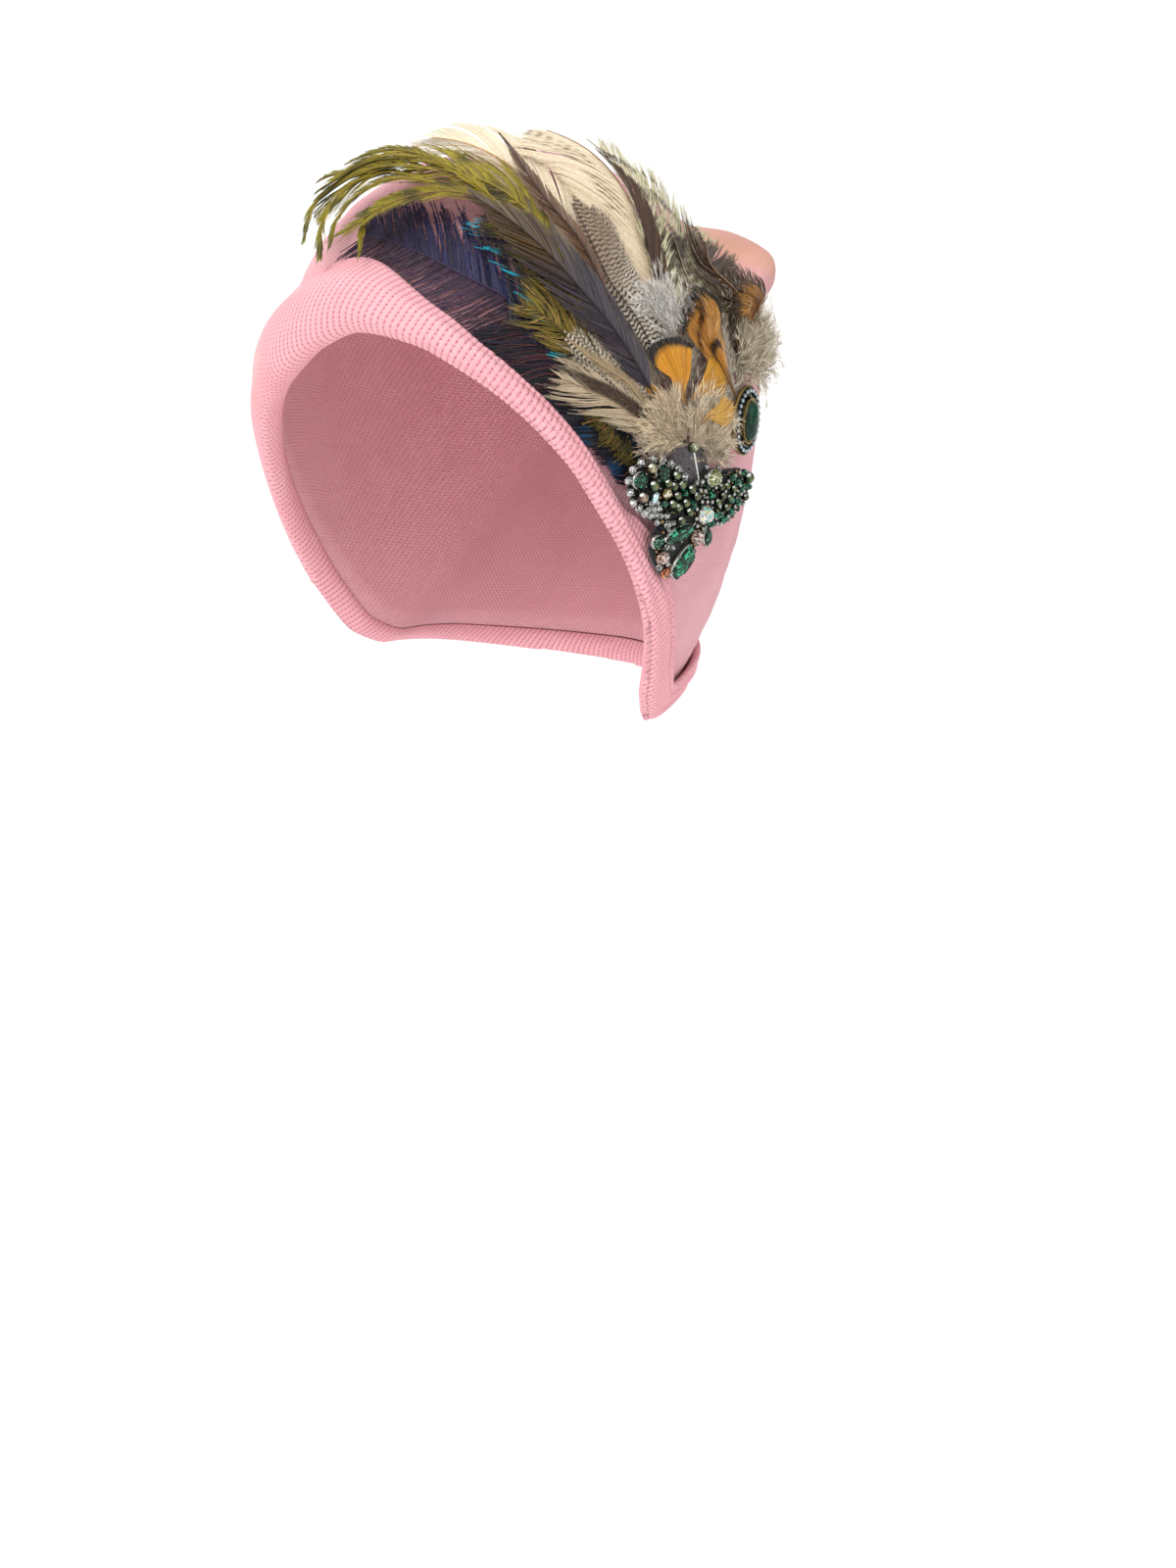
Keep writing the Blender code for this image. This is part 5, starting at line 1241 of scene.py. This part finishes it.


# the direction each bead's painted highlight spot faces
SHINE = unit(np.array([-0.25, -0.62, 0.72]))


def ball(bag, centre, rad, axis, lit_tone, dark, around=12, rings=7, squash=1.0, spot=0.0):
    """A round bead with painted shade, darker towards its foot, and an optional painted highlight spot."""
    a = np.arange(around)/around*2*np.pi
    b = np.linspace(0, np.pi, rings)
    n = unit(axis)
    s = unit(np.cross(n, [0.31, 0.22, 0.93]))
    o = np.cross(n, s)
    v = centre+rad*(np.cos(b)[:, None, None]*n*squash+np.sin(b)[:, None, None]*(np.cos(a)[None, :, None]*s+np.sin(a)[None, :, None]*o))
    # painted shade: the lit tone at the top fades to the dark tone towards the foot
    k = smooth(np.cos(b), 0.5, 1.0)[:, None]*np.ones((1, around))
    c = tone(dark, lit_tone, k)
    # painted highlight: a near-white spot on the side facing SHINE
    if spot:
        c = tone(c, rgb(255, 255, 246), spot*smooth(unit(v-centre)@unit(SHINE+0.6*n), 0.88, 0.97))
    bag.add(v, grid_faces(rings, around, close=True), c)


def gem_outline(shape, a):
    if shape == "navette":
        return np.stack([np.cos(a), np.sin(a)*(1-0.35*np.cos(a)**2)], -1)
    if shape == "cushion":
        return np.stack([np.sign(np.cos(a))*np.abs(np.cos(a))**0.7, np.sign(np.sin(a))*np.abs(np.sin(a))**0.7], -1)
    if shape == "square":
        return np.stack([np.sign(np.cos(a))*np.abs(np.cos(a))**0.4, np.sign(np.sin(a))*np.abs(np.sin(a))**0.4], -1)
    return np.stack([np.cos(a), np.sin(a)], -1)


def gem(bag, frame, shape, long, wide, high, palette, count=16, table=0.56, foot=0.0):
    """A cut stone; each facet has its own tone, painted reflections standing in for light off the foil behind."""
    p, a, b, n = frame
    ang = np.arange(count)/count*2*np.pi
    half = ang+np.pi/count

    def ring(share, h, t):
        o = gem_outline(shape, t)
        return p+n*(foot+h*high)+(o[:, :1]*long/2*share)*a+(o[:, 1:]*wide/2*share)*b
    rings = [ring(0.82, 0.0, ang), ring(1.0, 0.26, ang), ring(1.0, 0.42, ang), ring((1+table)/2, 0.76, half),
             ring(table, 1.0, ang), ring(table*0.5, 1.0, half)]
    centre = p+n*(foot+high)
    tris, cols = [], []

    def pick(weights):
        i = rng.choice(len(palette), p=np.array(weights)/sum(weights))
        return np.asarray(palette[i])*(0.75+0.5*rng.random())
    k = len(palette)
    base = [3.0]+[2.0]*(k-2)+[0.8]
    for i in range(count):
        j = (i+1) % count
        for lo in (0, 1):
            q = (rings[lo][i], rings[lo][j], rings[lo+1][j], rings[lo+1][i])
            c = np.asarray(palette[0])*0.5
            tris += [(q[0], q[1], q[2]), (q[0], q[2], q[3])]
            cols += [c, c]
        zig = [((rings[2][i], rings[2][j], rings[3][i]), 1), ((rings[3][i], rings[2][j], rings[3][j]), 0),
               ((rings[3][i], rings[4][j], rings[4][i]), 0), ((rings[3][i], rings[3][j], rings[4][j]), 1),
               ((rings[4][i], rings[4][j], rings[5][i]), 1), ((rings[5][i], rings[4][j], rings[5][j]), 0),
               ((rings[5][i], rings[5][j], centre), i % 2)]
        # facets alternate between leaning bright and leaning dark: painted reflections
        for t, flip in zig:
            w = list(base)
            if flip:
                w[-1] *= 2.2
            else:
                w[0] *= 2.0
            tris.append(t)
            cols.append(pick(w))
    v = np.array(tris).reshape(-1, 3)
    c = np.repeat(np.array(cols), 3, 0)
    bag.add(v, np.arange(len(v)).reshape(-1, 3), c)


def band(bag, frame, shape, long, wide, rows, colour, count=24):
    """A metal band round a stone: rows of (share, height)."""
    p, a, b, n = frame
    ang = np.arange(count)/count*2*np.pi
    o = gem_outline(shape, ang)
    v = np.stack([p+n*h+(o[:, :1]*(long/2+g))*a+(o[:, 1:]*(wide/2+g))*b for g, h in rows])
    bag.add(v, grid_faces(len(rows), count, close=True), colour)


def cup(bag, plane, u, v, across, h, palette, metal, prongs=4, turn=None):
    """A small clear stone held in a metal cup with prongs."""
    t = rng.random()*90 if turn is None else turn
    fr = plane.frame(u, v, t, h)
    gem(bag[0], fr, "round", across*0.92, across*0.92, across*0.5, palette, count=8, table=0.5, foot=across*0.18)
    band(bag[1], fr, "round", across*0.9, across*0.9, ((-across*0.1, -0.1), (across*0.05, across*0.2), (across*0.06, across*0.38), (-across*0.02, across*0.4)), metal, 12)
    p, a, b, n = fr
    for k in range(prongs):
        x = (k+0.5)/prongs*2*math.pi
        ball(bag[1], p+n*across*0.46+(math.cos(x)*a+math.sin(x)*b)*across*0.47, across*0.13, n, metal*1.2, metal*0.5, 6, 4)


def gem_material(name, rough=0.08, metal=0.0, coat=0.12, spec=0.35):
    k = Mat(name, rough=rough, metal=metal, coat=coat, coat_rough=0.02, spec=spec)
    c = k.colour_attr()
    n = k.noise(1800, 2, 0.5)
    k.base(k.mix(n.ramp(0.3, 0.7)*0.2, c, rgb(0, 0, 0)))
    return k.m


def metal_material(name, rough=0.22, metal=0.9, grain=0.5):
    k = Mat(name, rough=rough, metal=metal, coat=0.3, coat_rough=0.08, spec=0.6)
    c = k.colour_attr()
    n = k.noise(1400, 3, 0.6)
    k.base(k.mix(n.ramp(0.35, 0.75)*0.35, c, rgb(60, 56, 44)))
    k.bump(n, 0.12*grain, 0.0002)
    return k.m


def build_jewels():
    plane = Plane(CLUSTER_ROUND, CLUSTER_UP, BROOCH_FLOOR)
    seat = BACKING_WALL+GAP+0.25
    # facet palettes run from dark to bright; the bright tones are painted reflections
    green = [rgb(0, 24, 14), rgb(0, 58, 36), rgb(4, 104, 68), rgb(60, 186, 140)]
    deep = [rgb(0, 16, 10), rgb(0, 40, 24), rgb(2, 72, 44), rgb(70, 160, 120)]
    clear = [rgb(58, 60, 58), rgb(160, 162, 158), rgb(250, 250, 248), rgb(255, 255, 255)]
    rainbow = [rgb(120, 170, 150), rgb(240, 244, 240), rgb(120, 226, 226), rgb(250, 190, 200), rgb(246, 226, 130), rgb(255, 255, 255)]
    olive = [rgb(84, 88, 44), rgb(140, 144, 88), rgb(196, 200, 150), rgb(246, 248, 226)]
    rose = [rgb(92, 66, 58), rgb(168, 134, 122), rgb(214, 190, 180), rgb(252, 244, 240)]
    topaz = [rgb(80, 34, 14), rgb(150, 76, 40), rgb(204, 128, 84), rgb(240, 208, 180)]
    silver, gold = rgb(206, 206, 200), rgb(196, 160, 96)
    # lit and shaded tones for the beads' painted shading
    pearl_lit, pearl_shade = rgb(134, 150, 100), rgb(6, 36, 20)
    mats = {"emerald": gem_material("cut_green"), "aurora": gem_material("cut_rainbow", metal=0.3), "olive_glass": gem_material("cut_olive", metal=0.2),
            "rose_glass": gem_material("cut_rose", metal=0.3), "clear": gem_material("cut_clear", metal=0.4),
            "metal_bead": metal_material("bead_metal", rough=0.16), "silver": metal_material("silver_metal", rough=0.18),
            "gold": metal_material("gold_metal", rough=0.25)}
    palettes = {"emerald": green, "aurora": rainbow, "olive_glass": olive, "rose_glass": rose}

    trim, small = Bag(), Bag()
    taken = []
    for name, u, v, long, wide, turn, high, shape, look in STONES:
        one = Bag()
        taken.append((u, v, max(long, wide)/2))
        if shape == "ball":
            p, a, b, n = plane.frame(u, v, 0, seat)
            tint = {"bead_a": (rgb(214, 206, 170), rgb(96, 84, 52)), "bead_c": (rgb(206, 176, 160), rgb(70, 48, 38))}.get(name, (pearl_lit, pearl_shade))
            ball(one, p+n*2.0, long/2, n, tint[0]*0.7, tint[1], 24, 14, 4.0/long, spot=0.9)
            ball(trim, p+n*3.95, 0.45, n, gold, gold*0.4, 8, 4)
            one.object(name+"_ball", mats["metal_bead"], look, (name,))
            continue
        fr = plane.frame(u, v, turn, seat)
        pal = deep if name in ("stone_round_a", "stone_round_b", "stone_oval_dark", "stone_navette_b") else palettes[look]
        gem(one, fr, shape, long*0.96, wide*0.96, high, pal, count=20 if long > 6.5 else 16, table=0.6 if shape != "cushion" else 0.66)
        one.object(name+"_cut", mats[look], look, (name,), shade=False)
        metal = silver if look != "rose_glass" else rgb(190, 160, 140)
        band(trim, fr, shape, long, wide, ((-0.1, -0.5), (0.25, 0.2), (0.22, 0.42*high), (-0.1, 0.5*high)), metal*0.8, 28)
        p, a, b, n = fr
        for k in range(4 if long < 9 else 6):
            x = (k+0.5)/(4 if long < 9 else 6)*2*math.pi
            o = gem_outline(shape, np.array([x]))[0]
            ball(trim, p+n*0.55*high+a*o[0]*long*0.5+b*o[1]*wide*0.5, 0.42, n, metal, metal*0.4, 8, 5)

    def free(u, v, rad, slack=0.15):
        return all(math.hypot(u-x, v-y) > rad+q-slack for x, y, q in taken)

    cups = (small, trim)
    for u, v in CHAIN:
        cup(cups, plane, u, v, 3.1, seat-0.6, clear, silver*0.8)
        taken.append((u, v, 1.5))
    for u, v, d in CLEAR:
        cup(cups, plane, u, v, d, seat-0.2, clear, silver*0.7)
        taken.append((u, v, d/2))
    for k in range(7):                                        # a six-leaf flower of clear stones
        x = k/6*2*math.pi
        u, v = (-20.5+2.5*math.cos(x), 1.6+2.5*math.sin(x)) if k < 6 else (-20.5, 1.6)
        cup(cups, plane, u, v, 2.4, seat+0.2, clear, silver*0.8)
        taken.append((u, v, 1.2))
    cup(cups, plane, -15.3, 6.9, 4.0, seat+0.4, [rgb(150, 134, 96), rgb(216, 206, 170), rgb(250, 248, 230), rgb(255, 255, 255)], gold*0.6, turn=20)
    taken.append((-15.3, 6.9, 2.1))
    gem(small, plane.frame(-20.9, 6.0, 70, seat+1.2), "navette", 4.2, 2.4, 1.6, [rgb(170, 220, 224), rgb(236, 250, 250), rgb(255, 255, 255)], 10)
    taken.append((-20.9, 6.0, 1.5))
    gem(small, plane.frame(-11.6, -22.6, 30, seat-0.2), "cushion", 5.2, 3.8, 2.0, topaz, 12)
    taken.append((-11.6, -22.6, 2.3))

    beads, greens = Bag(), Bag()
    for i, (u, v) in enumerate(PEARLS):
        rad = 1.75 if u < 8 else 1.45
        p, a, b, n = plane.frame(u, v, 0, seat+rad-0.2+0.5*rng.random())
        ball(beads, p, rad, n+0.15*rng.normal(0, 1, 3), pearl_lit*(0.45+0.4*rng.random()), pearl_shade, 20, 13, spot=0.9)
        ball(trim, p+n*rad*0.95, 0.34, n, gold, gold*0.3, 6, 4)
        taken.append((u, v, rad))
    for u, v in GREENS:
        if not free(u, v, 1.2, 0.8):
            continue
        p, a, b, n = plane.frame(u, v, rng.random()*90, seat)
        gem(greens, (p, a, b, n), "round", 3.0, 3.0, 2.4, green, 10, table=0.5)
        taken.append((u, v, 1.4))
    for u, v in SILVERS:
        p, a, b, n = plane.frame(u, v, 0, seat+1.0)
        ball(trim, p, 0.95, n, silver, silver*0.25, 10, 6)
        taken.append((u, v, 0.9))
    # seed beads in the gaps of the two lobes
    bx = np.radians([r[0] for r in BACKING]+[360])
    by = np.array([r[1] for r in BACKING]+[BACKING[0][1]], float)
    for _ in range(3400):
        u, v = rng.uniform(-34, 37), rng.uniform(-26, 20)
        reach = float(np.interp(math.atan2(v, u) % (2*math.pi), bx, by))
        rad = rng.uniform(0.55, 0.95)
        if math.hypot(u, v) > reach-1.2 or not free(u, v, rad, 0.3):
            continue
        p, a, b, n = plane.frame(u, v, 0, seat+rng.uniform(-0.1, 0.9))
        c = [silver*0.9, gold*0.8, pearl_lit*0.7, rgb(30, 84, 60), rgb(60, 60, 56)][int(rng.integers(0, 5))]
        ball(trim, p, rad, n, c, c*0.25, 8, 5)
        taken.append((u, v, rad))
    beads.object("cluster_pearls", mats["metal_bead"], "metal_bead")
    greens.object("cluster_green_beads", mats["emerald"], "emerald", shade=False)
    small.object("cluster_clear_stones", mats["clear"], "aurora", shade=False)
    trim.object("cluster_metal_trim", mats["silver"], "silver_metal")

    # felt under the cluster, soft-edged
    bearing = np.arange(0, 360, 2.5)
    reach = through_rows(bearing, [r[0] for r in BACKING]+[360], [r[1] for r in BACKING]+[BACKING[0][1]], loop=360.0)
    ca, sa = np.cos(np.radians(bearing)), np.sin(np.radians(bearing))
    rows = []
    for share, off, h in ((0.0, 0, 0.05), (0.5, 0, 0.05), (1.0, -0.5, 0.0), (1.0, 0.0, 0.35), (1.0, 0.12, 0.8), (1.0, 0.0, 1.2), (1.0, -0.5, 1.55),
                          (0.85, 0, 1.6), (0.65, 0, 1.6), (0.45, 0, 1.6), (0.25, 0, 1.6), (0.0, 0, 1.6)):
        rr = reach*share+off+(rng.normal(0, 0.08, len(reach)) if 0.9 < share else 0)
        rows.append(plane.at(rr*ca, rr*sa, np.full(len(reach), h)+(rng.normal(0, 0.06, len(reach)) if h > 1.5 else 0)))
    felt = Mat("felt", rough=0.95, sheen=0.4, sheen_rough=0.5, spec=0.15)
    n = felt.noise(1500, 4, 0.7)
    n2 = felt.noise(260, 3, 0.6)
    felt.base(felt.mix(n.ramp(0.3, 0.75), rgb(10, 10, 12), rgb(44, 42, 46)))
    felt.bump(n+n2*0.6, 0.6, 0.0005)
    b = Bag()
    b.add(np.stack(rows), grid_faces(len(rows), len(reach), close=True), rgb(20, 20, 22))
    b.object("cluster_felt", felt.m, "felt_black", ("spray_backing",))

    # the grey felt patch that shows above the cluster
    t = np.arange(40)/40*2*np.pi
    du, dv = 10.5*np.sign(np.cos(t))*np.abs(np.cos(t))**0.6, 8.5*np.sign(np.sin(t))*np.abs(np.sin(t))**0.6
    rows = [plane.at(-1.2+du*g, 13.2+dv*g, np.full(40, h)) for g, h in ((0.05, -1.0), (0.9, -1.0), (1.0, -0.8), (1.0, -0.3), (0.9, 0.0), (0.5, 0.05), (0.05, 0.05))]
    patch = Mat("felt_grey", rough=0.95, sheen=0.4, sheen_rough=0.5, spec=0.15)
    n = patch.noise(1500, 4, 0.7)
    patch.base(patch.mix(n.ramp(0.3, 0.75), rgb(58, 54, 58), rgb(128, 121, 124)))
    patch.bump(n, 0.6, 0.0005)
    b = Bag()
    b.add(np.stack(rows), grid_faces(len(rows), 40, close=True), rgb(90, 86, 90))
    b.object("felt_patch", patch.m, "felt_black")

    # oval brooch
    op = Plane(OVAL_ROUND, OVAL_UP, OVAL_FLOOR)
    fr = op.frame(0, 0, OVAL_TURN, 0.0)
    p, a, b_, nn = fr
    W, H = OVAL_WIDTH, OVAL_HEIGHT
    dark_metal, gold2 = rgb(10, 12, 14), rgb(190, 156, 92)

    def loop(inset, h, count=56):
        t = np.arange(count)/count*2*np.pi
        return p+((W/2-inset)*np.cos(t))[:, None]*a+((H/2-inset)*np.sin(t))[:, None]*b_+nn*h
    plate = Bag()
    rows = [(6.0, 0.0, 0), (1.0, 0.0, 0), (0.1, 0.5, 0), (0.05, 1.7, 0), (0.5, 1.9, 0), (0.9, 1.2, 2), (2.6, 1.2, 2), (2.9, 1.9, 2), (3.2, 1.9, 1),
            (3.5, 1.3, 1), (4.2, 1.3, 1), (4.5, 2.4, 1), (4.7, 3.3, 0), (5.2, 3.3, 0), (5.4, 2.4, 0)]
    loops = np.stack([loop(i, h) for i, h, _ in rows])
    cols = np.stack([np.tile((gold2*0.6, dark_metal, rgb(74, 80, 84))[k], (56, 1)) for _, _, k in rows])
    plate.add(loops, grid_faces(len(rows), 56, close=True), cols)

    def beaded(bag, inset, h, rad, hi, lo, pitch=2.02):
        fine = loop(inset, h, 400)
        run = np.concatenate([[0], np.cumsum(np.linalg.norm(np.diff(np.vstack([fine, fine[:1]]), axis=0), axis=1))])
        count = int(round(run[-1]/(rad*pitch)))
        at = np.arange(count)/count*run[-1]
        pts = np.stack([np.interp(at, run, np.append(fine[:, k], fine[0, k])) for k in range(3)], 1)
        for q in pts:
            ball(bag, q, rad*(0.96+0.08*rng.random()), nn, hi*(0.85+0.3*rng.random()), lo, 10 if rad > 0.8 else 7, 7 if rad > 0.8 else 5)
    beaded(plate, 0.42, 1.6, 0.42, gold2*0.8, gold2*0.2)
    beaded(plate, 4.55, 3.2, 0.5, gold2, gold2*0.25)
    beaded(plate, 5.0, 3.3, 0.34, gold2*1.1, gold2*0.3)
    beaded(plate, 3.1, 1.9, 0.33, rgb(96, 104, 108), rgb(20, 24, 26))
    plate.object("brooch_frame", mats["gold"], "gold_metal", ("oval_setting",))
    pearls = Bag()
    beaded(pearls, 1.75, 2.1, 1.08, rgb(214, 222, 222), rgb(60, 76, 84), 2.06)
    pearls.object("brooch_pearls", mats["metal_bead"], "metal_bead")
    cab = Bag()
    t = np.arange(48)/48*2*np.pi
    rows = [(5.35, 2.75), (5.3, 3.3), (5.6, 4.2), (6.3, 5.0), (7.2, 5.5), (8.3, 5.8), (9.2, 5.9), (9.75, 5.92)]
    loops = []
    for i, h in rows:
        long = max(H/2-i, 0.05)
        loops.append(p+((W/2-i)*np.cos(t))[:, None]*a+(long*np.sin(t))[:, None]*b_+nn*h)
    cab.add(np.stack(loops), grid_faces(len(rows), 48, close=True), rgb(3, 40, 26))
    cm = Mat("cabochon", rough=0.12, coat=0.15, coat_rough=0.04, spec=0.25)
    n = cm.noise(320, 4, 0.6)
    cm.base(cm.mix(n.ramp(0.3, 0.7), rgb(0, 22, 14), rgb(2, 66, 42)))
    cab.object("brooch_cabochon", cm.m, "emerald", ("oval_cabochon",))

    # pins
    for name, hu, hv, hh, fu, fv, fh in (("hatpin", -7.6, 21.4, 14.2, 0.4, 9.4, 9.4), ("gold_pin", 14.2, 16.8, 10.2, 12.6, 13.6, 8.4)):
        head = plane.at(np.array([hu]), np.array([hv]), np.array([hh-BROOCH_FLOOR]))[0]
        foot = plane.at(np.array([fu]), np.array([fv]), np.array([fh-BROOCH_FLOOR]))[0]
        axis = unit(head-foot)
        run = float(np.linalg.norm(head-foot))
        side = unit(np.cross(axis, [0.3, 0.2, 1.0]))
        other = np.cross(axis, side)
        t = np.arange(16)/16*2*np.pi
        pin = Bag()
        prof = [(0, 0.12), (1.2, 0.42), (run*0.5, 0.45), (run, 0.45)] if name == "hatpin" else [(0, 0.2), (0.8, 0.45), (run-0.5, 0.45), (run, 0.2)]
        v = np.stack([foot+axis*z+r*(np.cos(t)[:, None]*side+np.sin(t)[:, None]*other) for z, r in prof])
        pin.add(v, grid_faces(len(prof), 16, close=True), rgb(222, 222, 216) if name == "hatpin" else gold)
        if name == "hatpin":
            ball(pin, head+axis*1.95, 1.95, plane.n+0.4*plane.v, rgb(188, 192, 154), rgb(50, 60, 38), 28, 16)
        pin.object(name+"_metal", metal_material(name+"_polish", rough=0.12), "silver_metal" if name == "hatpin" else "gold_metal", (name,))


# ------------------------------------------------------------------ stage, light, camera
def build_stage():
    m = Mat("backdrop", rough=0.9, spec=0.1)
    n = m.noise(6, 2)
    m.base(m.mix(n.ramp(0.3, 0.7)*0.08, (0.94, 0.94, 0.94), (0.88, 0.88, 0.88)))
    floor = -0.385
    prof = [(-1.6, floor), (1.1, floor)]
    for a in np.linspace(0, 90, 14):
        prof.append((1.1+0.7*math.sin(math.radians(a)), floor+0.7-0.7*math.cos(math.radians(a))))
    prof.append((1.8, 3.0))
    prof = np.array(prof)
    xs = np.linspace(-3.0, 3.0, 9)
    v = np.array([(x, y, z) for y, z in prof for x in xs])
    f = grid_faces(len(prof), len(xs))
    yaw = math.radians(33.0)
    c, s = math.cos(yaw), math.sin(yaw)
    v = np.stack([v[:, 0]*c-v[:, 1]*s, v[:, 0]*s+v[:, 1]*c, v[:, 2]], 1)
    me = bpy.data.meshes.new("backdrop")
    me.from_pydata([tuple(p) for p in v], [], [tuple(int(i) for i in q) for q in f])
    me.shade_smooth()
    me.materials.append(m.m)
    ob = bpy.data.objects.new("backdrop", me)
    bpy.context.scene.collection.objects.link(ob)


def area(name, loc, target, size, power, colour=(1, 1, 1)):
    light = bpy.data.lights.new(name, "AREA")
    light.shape = "RECTANGLE"
    light.size, light.size_y = size
    light.energy = power
    light.color = colour
    ob = bpy.data.objects.new(name, light)
    ob.location = loc
    ob.rotation_euler = (Vector(target)-Vector(loc)).to_track_quat("-Z", "Y").to_euler()
    bpy.context.scene.collection.objects.link(ob)
    return ob


def build_lights():
    world = bpy.data.worlds.new("studio")
    world.use_nodes = True
    bg = world.node_tree.nodes["Background"]
    bg.inputs[0].default_value = (1.0, 1.0, 1.0, 1)
    tree = world.node_tree
    where = tree.nodes.new("ShaderNodeTexCoord")
    dot = tree.nodes.new("ShaderNodeVectorMath")
    dot.operation = "DOT_PRODUCT"
    yaw = math.radians(33)
    side = np.array([math.sin(yaw), -math.cos(yaw), 0.0])*0.5-np.array([math.cos(yaw), math.sin(yaw), 0.0])*0.6+np.array([0, 0, 0.62])
    dot.inputs[1].default_value = tuple(side/np.linalg.norm(side))
    tree.links.new(where.outputs["Generated"], dot.inputs[0])
    span = tree.nodes.new("ShaderNodeMapRange")
    span.interpolation_type = "SMOOTHSTEP"
    for key, value in (("From Min", -0.7), ("From Max", 0.9), ("To Min", 0.38), ("To Max", 1.12)):
        span.inputs[key].default_value = value
    tree.links.new(dot.outputs["Value"], span.inputs["Value"])
    tree.links.new(span.outputs["Result"], bg.inputs[1])
    bpy.context.scene.world = world
    back = np.array([math.sin(math.radians(33)), -math.cos(math.radians(33)), 0.0])
    right = np.array([math.cos(math.radians(33)), math.sin(math.radians(33)), 0.0])
    up = np.array([0, 0, 1.0])
    area("key", tuple(back*1.1-right*0.75+up*1.05), (0, 0, 0), (0.7, 0.7), 11, (1.0, 0.985, 0.96))
    area("fill", tuple(back*1.0+right*1.2+up*0.3), (0, 0, 0), (0.8, 1.1), 3, (0.95, 0.98, 1.0))
    area("top", tuple(-back*0.2+up*1.5), (0, 0, 0), (0.9, 0.9), 5)


def build_camera():
    az, el, dist, focal = 33.0, 9.0, 0.9, 2432.0
    a, e = math.radians(az), math.radians(el)
    back = np.array([math.sin(a)*math.cos(e), -math.cos(a)*math.cos(e), math.sin(e)])
    pos = back*dist
    dx, dy = (517.0-600)/focal, (800-430.0)/focal
    fwd = -back
    v = np.array([dx, dy, 1.0])
    v /= np.linalg.norm(v)
    yaw, pitch = math.atan2(fwd[1], fwd[0]), math.asin(fwd[2])
    for _ in range(60):
        F = np.array([math.cos(pitch)*math.cos(yaw), math.cos(pitch)*math.sin(yaw), math.sin(pitch)])
        R = np.cross(F, [0, 0, 1.0])
        R /= np.linalg.norm(R)
        U = np.cross(R, F)
        g = v[0]*R+v[1]*U+v[2]*F
        yaw += math.atan2(fwd[1], fwd[0])-math.atan2(g[1], g[0])
        pitch += math.asin(fwd[2])-math.asin(g[2])
    cam = bpy.data.cameras.new("camera")
    cam.sensor_width, cam.sensor_fit = 36.0, "AUTO"
    cam.lens = 36.0*focal/1600.0
    cam.clip_start, cam.clip_end = 0.05, 20
    ob = bpy.data.objects.new("camera", cam)
    ob.matrix_world = Matrix(((R[0], U[0], -F[0], pos[0]), (R[1], U[1], -F[1], pos[1]), (R[2], U[2], -F[2], pos[2]), (0, 0, 0, 1)))
    bpy.context.scene.collection.objects.link(ob)
    bpy.context.scene.camera = ob


build_stage()
build_lights()
build_camera()
build_crown()
build_cuff()
build_feathers()
build_jewels()

scene = bpy.context.scene
scene.view_settings.view_transform = "Standard"
scene.view_settings.look = "None"
bpy.context.view_layer.update()
